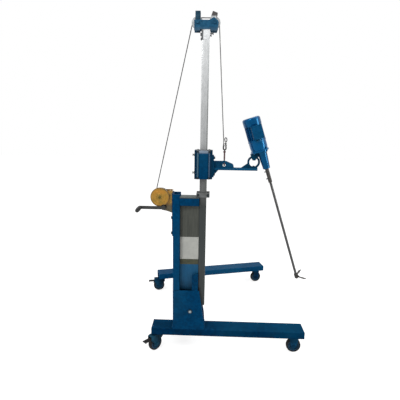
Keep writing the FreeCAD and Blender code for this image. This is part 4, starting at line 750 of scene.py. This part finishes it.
bm = bmesh.new()
leg_apart = 4.3
for height, left, right in ((1417.6, 123.0, 135.6), (1426.4, 123.6, 134.4)):
    clip_saddle(bm, (right - 0.5, -6.2, height - 2.8), (right + 4.5, 6.2, height + 2.8))
    half_bend = [(right + 8.0, leg_apart), (left + 1.0, leg_apart), (left - 2.6, 2.4)]
    bend = half_bend + [(left - 3.6, 0)] + [(x, -y) for x, y in reversed(half_bend)]
    tube(bm, spaced([at(x, y, height) for x, y in bend], 0.0012), 0.0014, 8)
    for y in (-leg_apart, leg_apart):
        lathe(bm, washer(0.0031, 0.0028), placed(at(right + 4.5, y, height), X), 6)
piece("rope_clips", bm, dull_bolt, "carriage", bevel=0.0003)


# Wheels: a tread with a crowned face and fine side rings, and a moulded hub with ribs

def both_sides(half, middle=()):
    """A wheel's profile, the same on both sides, from one side's (radius, height) pairs."""
    return [(r, -h) for r, h in half] + list(middle) + [(r, h) for r, h in reversed(half)]


tread_half = [(0.0385, 0.0125), (0.0392, 0.0145), (0.0420, 0.0152), (0.0428, 0.0140),
              (0.0446, 0.0140), (0.0454, 0.0150), (0.0474, 0.0142), (0.0491, 0.0110),
              (0.0499, 0.0060)]
tread_profile = both_sides(tread_half, [(0.0500, 0.0)])
hub_profile = both_sides([(0.0051, 0.0158), (0.0088, 0.0158), (0.0098, 0.0150), (0.0102, 0.0060),
                          (0.0150, 0.0045), (0.0330, 0.0045), (0.0345, 0.0110), (0.0390, 0.0118)])
rib_outline = both_sides([(0.0095, 0.0115), (0.0350, 0.0085)])
rib_half_width = 0.0013
rib_count = 8


def wheel_pieces(name):
    body = name + "_wheel"
    matrix = placed(pivots[body + "_spin"], axes[body + "_spin"])
    bm = bmesh.new()
    lathe(bm, tread_profile, matrix, 72)
    tread = piece(name + "_tread", bm, tread_rubber, body)
    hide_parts(body)
    bm = bmesh.new()
    lathe(bm, hub_profile, matrix, 60)
    for a in turn_about_z(rib_count):
        spin = matrix @ Matrix.Rotation(a, 4, "Z")
        low = [bm.verts.new(spin @ Vector((r, -rib_half_width, z))) for r, z in rib_outline]
        high = [bm.verts.new(spin @ Vector((r, rib_half_width, z))) for r, z in rib_outline]
        bm.faces.new(low)
        bm.faces.new(high[::-1])
        for i in range(len(low)):
            j = (i + 1) % len(low)
            bm.faces.new((low[i], high[i], high[j], low[j]))
    piece(name + "_hub", bm, hub_plastic, body)


swivel_corners = ("near_left", "far_left")
for corner in swivel_corners + ("near_right", "far_right"):
    wheel_pieces(corner)


# Balls in the raceway of the two casters that swivel

ball_circle, ball_height = 0.0238, 0.1203
ball_radius, ball_count = 0.0024, 18
for corner in swivel_corners:
    bm = bmesh.new()
    for a in turn_about_z(ball_count):
        ball = pivots[corner + "_swivel"] + about_z(ball_circle, a, ball_height)
        bmesh.ops.create_icosphere(bm, subdivisions=2, radius=ball_radius,
                                   matrix=Matrix.Translation(ball))
    piece(corner + "_race_balls", bm, roller_steel, corner + "_fork")


# Brake pedals: ribs across the pad

pad_start, pad_top = 0.020, 0.0028
pad_half_width = 0.0145
pad_rib_pitch, pad_rib_count = 0.0052, 6
for corner in swivel_corners:
    pin, across = pivots[corner + "_brake"], axes[corner + "_brake"]
    out = across.cross(Z).normalized()
    if (pin - pivots[corner + "_swivel"]).dot(out) < 0:
        out = -out
    bm = bmesh.new()
    for k in range(pad_rib_count):
        middle = pin + out * (pad_start + pad_rib_pitch * k) + Z * pad_top
        ends = [middle - across * pad_half_width, middle + across * pad_half_width]
        tube(bm, spaced(ends, 0.004), 0.0011, 8)
    piece(corner + "_pedal_ribs", bm, pedal_rubber, corner + "_pedal")


# Crank grip: moulded barrel with finger grooves

grip_length = 0.0938
grip_bore = 0.00505
grooves = 9
profile = [(grip_bore, 0.0)]
for i in range(61):
    t = i / 60
    belly = 0.0098 + 0.0040 * math.sin(math.pi * (0.18 + 0.70 * t))
    rounding = min(1.0, 0.72 + 0.28 * min(t, 1 - t) / 0.05)
    groove = 0.00045 * (1 + math.cos(2 * math.pi * t * grooves)) if 0.12 < t < 0.88 else 0.0
    profile.append(((belly * rounding) - groove, grip_length * t))
profile.append((grip_bore, grip_length))
bm = bmesh.new()
lathe(bm, profile, placed(pivots["grip_spin"], -Y), 40)
grip = piece("hand_grip", bm, grip_rubber, "grip")
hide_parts("crank_grip")


# Winch cover: a rim that is open at the pinion's window, and two rings pressed in its face

window = pivots["crank_spin"] - drum_centre
window_angle = math.atan2(window.z, window.x)
bm = bmesh.new()
cover_rings = ((0.0585, 0.0052, 0.0012, 0.36), (0.0395, 0.0040, 0.0009, 0.12),
               (0.0225, 0.0040, 0.0009, 0.0))
for radius, set_back, thick, opening in cover_rings:
    start = window_angle + opening
    sweep = 2 * math.pi - 2 * opening
    path = [Vector((drum_centre.x + radius * math.cos(a), cover_face + set_back,
                    drum_centre.z + radius * math.sin(a)))
            for a in (start + sweep * i / 96 for i in range(97))]
    tube(bm, path, thick, 8)
piece("cover_pressed_rings", bm, yellow_zinc_shaded_rim, "stand")


# Weld beads, laid along the seams and painted over

def bead(bm, start, end, size=0.0026):
    """Adds a weld bead between two points in millimetres, with the ripple of hand welding."""
    start, end = at(*start), at(*end)
    points = spaced([start, end], 0.0016)
    seed = (start.x * 7.3 + start.y * 3.1 + start.z * 5.7) * 100

    def swell(i):
        ends = min(1.0, 0.45 + min(i, len(points) - 1 - i) * 0.18)
        return ends * (1 + 0.16 * math.sin(i * 1.25 + seed) + 0.07 * math.sin(i * 0.37 + seed))
    tube(bm, points, size, 7, swell)


post_left, post_right = -189.0, -145.0
stub_left, stub_right = -61.0, -24.0
plate_left, plate_right = -191.0, 21.0
gusset_foot, gusset_top = 190.6, 457.8
crossbar_end = post_right + 0.6
crossbar_half = 48.0
crossbar_low, crossbar_bottom, crossbar_top = 1033.2, 1034.5, 1081.5
beam_left, beam_right = -150.0, -63.0
beam_low, beam_high, beam_top = 131.5, 174.0, 177.0
bm = bmesh.new()
for y in (-56.4, 56.4):
    bead(bm, (post_left + 2, y, gusset_foot), (plate_right, y, gusset_foot), 0.0018)
for way in (-1, 1):
    y = way * 50.8
    bead(bm, (post_left + 3, y, gusset_top), (post_right - 2, y, gusset_top))
    bead(bm, (stub_left, y, gusset_top), (stub_right, y, gusset_top))
    y = way * 49.896
    bead(bm, (crossbar_end, y, crossbar_bottom), (crossbar_end, y, crossbar_top))
bead(bm, (crossbar_end, -crossbar_half, crossbar_low), (crossbar_end, crossbar_half, crossbar_low))
for x in (-195.4, 25.4):
    bead(bm, (x, -53, 178.8), (x, 53, 178.8))
for y in (-58.2, 58.2):
    bead(bm, (plate_left, y, 178.0), (plate_right, y, 178.0), 0.0022)
bead(bm, (beam_left, 60.6, beam_top), (beam_right, 60.6, beam_top), 0.0024)
for x in (beam_left - 1.8, beam_right + 2.2):
    bead(bm, (x, 60.8, beam_low), (x, 60.8, beam_high), 0.0024)
piece("weld_beads_frame", bm, blue, "stand", 60)

flange = 66.0
lug_end, lug_top = 190.0, 1317.0
gusset_end = 93.0
ring_foot_left, ring_foot_right = 238.0, 336.0
arm_low, arm_top = 1261.4, 1277.6
bm = bmesh.new()
for y in (-5.6, 5.6):
    bead(bm, (flange, y, arm_top), (lug_end, y, arm_top), 0.0022)
    bead(bm, (flange - 0.4, y, 1279), (flange - 0.4, y, lug_top), 0.0022)
    bead(bm, (flange, y, arm_low), (gusset_end, y, arm_low), 0.0020)
for y in (-10.6, 10.6):
    bead(bm, (ring_foot_left, y, arm_top), (ring_foot_right, y, arm_top), 0.0022)
for z in (arm_low + 0.1, arm_top):
    bead(bm, (flange - 0.2, -18, z), (flange - 0.2, 18, z), 0.0022)
piece("weld_beads_arm", bm, blue, "carriage", 60)


# Column front: placard rivets and the narrow strip under it

rivet = [(0, 0), (0.0026, 0), (0.0024, 0.0006), (0.0015, 0.0012), (0, 0.0014)]
rivet_inset = 0.007
label_low, label_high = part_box("label_plate")
bm = bmesh.new()
for x in (label_low.x + rivet_inset, label_high.x - rivet_inset):
    for z in (label_low.z + rivet_inset, label_high.z - rivet_inset):
        lathe(bm, rivet, placed(Vector((x, label_low.y, z)), -Y), 20)
piece("placard_rivets", bm, bolt_zinc, "stand")

panel_low, panel_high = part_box("column_upper_panel")
strip_left = panel_low.x + 0.0028
strip_width = panel_high.x - panel_low.x - 0.0056
strip_back = ORIGIN.y - 0.0200
strip_low, strip_height = 0.6325, 0.034
columns, rows = 14, 5
bm = bmesh.new()
layers = []
for depth in (0.0, -0.0008):
    layer = []
    for r in range(rows + 1):
        for c in range(columns + 1):
            wave = 0.00012 * math.sin(c * 1.9 + r) if depth else 0.0
            layer.append(bm.verts.new(Vector((strip_left + strip_width * c / columns,
                                              strip_back + depth + wave,
                                              strip_low + strip_height * r / rows))))
    layers.append(layer)
back, front = layers
w = columns + 1
for r in range(rows):
    for c in range(columns):
        i = r * w + c
        bm.faces.new((front[i], front[i + 1], front[i + w + 1], front[i + w]))
        bm.faces.new((back[i], back[i + w], back[i + w + 1], back[i + 1]))
rim = ([r * w for r in range(rows)] + [rows * w + c for c in range(columns)]
       + [(rows - r) * w + columns for r in range(rows)] + [columns - c for c in range(columns)])
for a, b in zip(rim, rim[1:] + rim[:1]):
    bm.faces.new((front[a], front[b], back[b], back[a]))
piece("panel_strip", bm, kraft, "stand")


# Mixer: bolts through the adapter's lugs, cover screws and the lid's gasket

mixer_axis = axes["shaft_spin"]
across_mixer = Y.cross(mixer_axis).normalized()
motor_offset = (pivots["fan_spin"] - pivots["shaft_spin"]).dot(across_mixer)
motor = Matrix((across_mixer, Y, mixer_axis)).transposed().to_4x4()
motor.translation = pivots["shaft_spin"] + across_mixer * motor_offset


def on_motor(r, azimuth, z, aside=0.0):
    """A point from the motor's axis in millimetres: outwards, along the axis, and to one side."""
    a = math.radians(azimuth)
    x = r * math.cos(a) - aside * math.sin(a)
    y = r * math.sin(a) + aside * math.cos(a)
    return motor @ Vector((x * 0.001, y * 0.001, z * 0.001))


bolt_circle = 55.0
lug_low, lug_high = 116.0, 132.0
bm = bmesh.new()
for azimuth in (42, 132, 222, 312):
    for z, way in ((lug_high, 1), (lug_low, -1)):
        seat = placed(on_motor(bolt_circle, azimuth, z), mixer_axis * way)
        bolt_and_washer(bm, seat, (0.0052, 0.0055), (0.0066, 0.0012), 24)
piece("adapter_bolts", bm, housing_blue, "mixer_head", bevel=0.0003)

screw = [(0, 0), (0.0036, 0), (0.0034, 0.0012), (0.0018, 0.0020), (0, 0.0021)]
cover_radius, screw_height = 55.7, 292.0
bm = bmesh.new()
for azimuth in (45, 135, 225, 315):
    outwards = on_motor(1000.0, azimuth, 0.0) - on_motor(0.0, 0.0, 0.0)
    lathe(bm, screw, placed(on_motor(cover_radius, azimuth, screw_height), outwards), 20)
piece("cover_screws", bm, housing_blue, "mixer_head", bevel=0.0002)

box_turn = -84.0
box_middle = 239.0
lid_depth = 75.6
lid_corners = [(-26, -39.4), (26, -39.4), (30.4, -35), (30.4, 35), (26, 39.4), (-26, 39.4),
               (-30.4, 35), (-30.4, -35), (-26, -39.4)]
bm = bmesh.new()
ring = [on_motor(lid_depth, box_turn, box_middle + z, aside) for aside, z in lid_corners]
tube(bm, spaced(ring, 0.004), 0.0011, 6)
piece("terminal_gasket", bm, pedal_rubber, "mixer_head")


# Carriage: painted shade on the pressed plates' bends, painted highlight on their ribs, and the arm
# flange's bolts

folds = (("bends", 43.6, 49.3, bend_shade_blue), ("ribs", carriage_rib_place * 1000, 49.7, rib_highlight_blue))
for side, way in (("left", -1), ("right", 1)):
    for name, x, depth, finish in folds:
        bm = bmesh.new()
        for y in (-depth, depth):
            foot = at(way * x, y, 0)
            start = foot + Z * (carriage_low.z + 0.002)
            end = foot + Z * (carriage_high.z - 0.002)
            tube(bm, spaced([start, end], 0.008), 0.0016, 8)
        piece("carriage_" + name + "_" + side, bm, finish, "carriage")

flange_face = 65.0
bm = bmesh.new()
for y in (-19.0, 19.0):
    for z in (1233.0, 1338.0):
        seat = placed(at(flange_face, y, z), X)
        bolt_and_washer(bm, seat, (0.0066, 0.0062), (0.0076, 0.0014), 28)
piece("flange_bolts", bm, dark_bolt, "carriage", bevel=0.0003)


# Materials and softened edges of the model's own pieces

finishes = (
    (shaded_leg_blue, "near_leg", "cross_beam", "leg_end_plates", "caster_top_plates"),
    (blue, "far_leg", "column_posts", "column_base_plates", "column_crossbar", "winch_bracket",
     "carriage_cheeks"),
    (fork_blue, "rigid_caster_forks", "far_left_fork"),
    (near_fork_blue, "near_left_fork"),
    (head_blue, "head_frame", "pulley_axles"),
    (carriage_blue_with_shading, "carriage_plates"),
    (arm_blue, "arm_beam"),
    (ring_blue, "tilt_ring", "tilt_clamp"),
    (mixer_blue, "motor_body", "motor_adapter", "fan_cover"),
    (housing_blue, "bearing_housing"),
    (box_blue, "terminal_box"),
    (fan_plastic, "motor_fan"),
    (pale_blue, "column_lower_panel"),
    (grey_sheet, "column_upper_panel"),
    (placard, "label_plate"),
    (tube_zinc_with_painted_shade, "mast_tube"),
    (collar_zinc_with_painted_shade, "head_sleeve"),
    (dark_steel, "shaft_coupling", "impeller_hub", "rear_blade", "front_blade"),
    (shaft_steel, "mixer_shaft"),
    (crank_steel, "crank_arm"),
    (drum_metal, "winch_drum"),
    (pulley_steel, "left_pulley", "right_pulley"),
    (roller_steel, "upper_left_roller", "lower_left_roller", "upper_right_roller",
     "lower_right_roller"),
    (yellow_zinc_shaded_rim, "winch_gear_cover"),
    (frame_zinc_shaded_below, "winch_frame"),
    (hook_brown, "rope_hook"),
    (pedal_rubber, "near_left_pedal", "far_left_pedal"),
)
fine_edge, thick_edge = 0.0005, 0.0012
thick_edges = {"near_leg", "far_leg", "cross_beam", "column_base_plates", "arm_beam", "tilt_ring",
               "tilt_clamp", "head_frame", "terminal_box", "bearing_housing", "motor_adapter"}
left_unsoftened = {"rope_hook"}


def finish_node(name, materials, choose=lambda middle: 0):
    """Gives a node its materials, chosen by where each face's middle lies from the mast's foot."""
    obj = nodes[name]
    obj.data.materials.clear()
    for material in materials:
        obj.data.materials.append(material)
    for polygon in obj.data.polygons:
        polygon.material_index = choose((polygon.center - ORIGIN) * 1000)
    if name not in left_unsoftened:
        soften(obj, thick_edge if name in thick_edges else fine_edge)


for material, *names in finishes:
    for name in names:
        finish_node(name, [material])

bright_screw_ends = -55.9
foot_bolts_below, tie_bolt_below = 220, 400
clamp_begins = 1087.5
finish_node("rope_keepers", [keeper_blue, keeper_steel], lambda p: 0 if p.x < 0 else 1)
finish_node("carriage_bolts", [dark_bolt, bolt_zinc], lambda p: 1 if p.x < bright_screw_ends else 0)
finish_node("frame_bolts", [blue, tie_bolt_highlight_finish, dark_bolt],
            lambda p: 0 if p.z < foot_bolts_below else 1 if p.z < tie_bolt_below else 2)
finish_node("mast_clamp", [top_plate_zinc, grey_zinc], lambda p: 0 if p.z < clamp_begins else 1)


# Camera at the photograph's place

sensor_width = 36.0
photo_width = 400.0
focal_length_in_pixels = 357.0
yaw, pitch, roll = math.radians(1.64), math.radians(-11.76), math.radians(0.92)
camera_place = at(45.6, -2252.7, 1533.3)
camera = bpy.data.objects.new("camera", bpy.data.cameras.new("camera"))
bpy.context.scene.collection.objects.link(camera)
camera.data.sensor_width = sensor_width
camera.data.lens = sensor_width * focal_length_in_pixels / photo_width
camera.data.clip_start = 0.05
camera.data.clip_end = 60.0
turned = (Matrix.Rotation(yaw, 4, "Z") @ Matrix.Rotation(math.radians(90) + pitch, 4, "X")
          @ Matrix.Rotation(roll, 4, "Z"))
camera.matrix_world = Matrix.Translation(camera_place) @ turned
bpy.context.scene.camera = camera


# Floor, world and lamps

def seen_directly(tree):
    """A value that is 1 for the camera's own rays, for reflections and for looks through glass."""
    rays = new_node(tree, "LightPath")
    value = rays.outputs["Is Camera Ray"]
    for kind in ("Is Glossy Ray", "Is Transmission Ray"):
        either = new_node(tree, "Math", {0: value, 1: rays.outputs[kind]}, operation="MAXIMUM")
        value = either.outputs[0]
    return value


white = (1, 1, 1, 1)
mid_grey = (0.5, 0.5, 0.5, 1)
floor_reach = 14
floor_corners = [(x * floor_reach, y * floor_reach, 0)
                 for x, y in ((-1, -1), (1, -1), (1, 1), (-1, 1))]
floor_mesh = bpy.data.meshes.new("floor")
floor_mesh.from_pydata(floor_corners, [], [(0, 1, 2, 3)])
floor = bpy.data.objects.new("floor", floor_mesh)
bpy.context.scene.collection.objects.link(floor)

floor_material = bpy.data.materials.new("floor")
floor_material.use_nodes = True
tree = floor_material.node_tree
tree.nodes.clear()
lift = new_node(tree, "Math", {0: seen_directly(tree), 1: 0.72}, operation="MULTIPLY")
lifted = new_node(tree, "Emission", {"Color": white, "Strength": lift.outputs[0]})
diffuse = new_node(tree, "BsdfDiffuse", {"Color": mid_grey})
added = new_node(tree, "AddShader", {0: diffuse.outputs[0], 1: lifted.outputs[0]})
new_node(tree, "OutputMaterial", {"Surface": added.outputs[0]})
floor_mesh.materials.append(floor_material)

world = bpy.data.worlds.new("studio")
bpy.context.scene.world = world
world.use_nodes = True
tree = world.node_tree
tree.nodes.clear()
soft_light = new_node(tree, "Background", {"Color": white, "Strength": 0.62})
backdrop = new_node(tree, "Background", {"Color": white, "Strength": 1.0})
shown = new_node(tree, "MixShader", {0: seen_directly(tree), 1: soft_light.outputs[0],
                                     2: backdrop.outputs[0]})
new_node(tree, "OutputWorld", {"Surface": shown.outputs[0]})


def lamp(name, position, target, power, width, height):
    data = bpy.data.lights.new(name, "AREA")
    data.shape = "RECTANGLE"
    data.size = width
    data.size_y = height
    data.energy = power
    obj = bpy.data.objects.new(name, data)
    bpy.context.scene.collection.objects.link(obj)
    obj.location = position
    obj.rotation_euler = (Vector(target) - Vector(position)).to_track_quat("-Z", "Y").to_euler()
    obj.visible_camera = False


lamp("key", (-2.2, -3.6, 4.2), (0, 0, 1.0), 100, 1.3, 1.3)
lamp("fill", (3.5, -1.7, 2.0), (0, -0.4, 1.3), 66, 0.75, 2.5)
lamp("top", (0.3, 0.5, 5.0), (0, 0, 0.9), 60, 3.0, 3.0)

bpy.context.scene.view_settings.view_transform = "Standard"
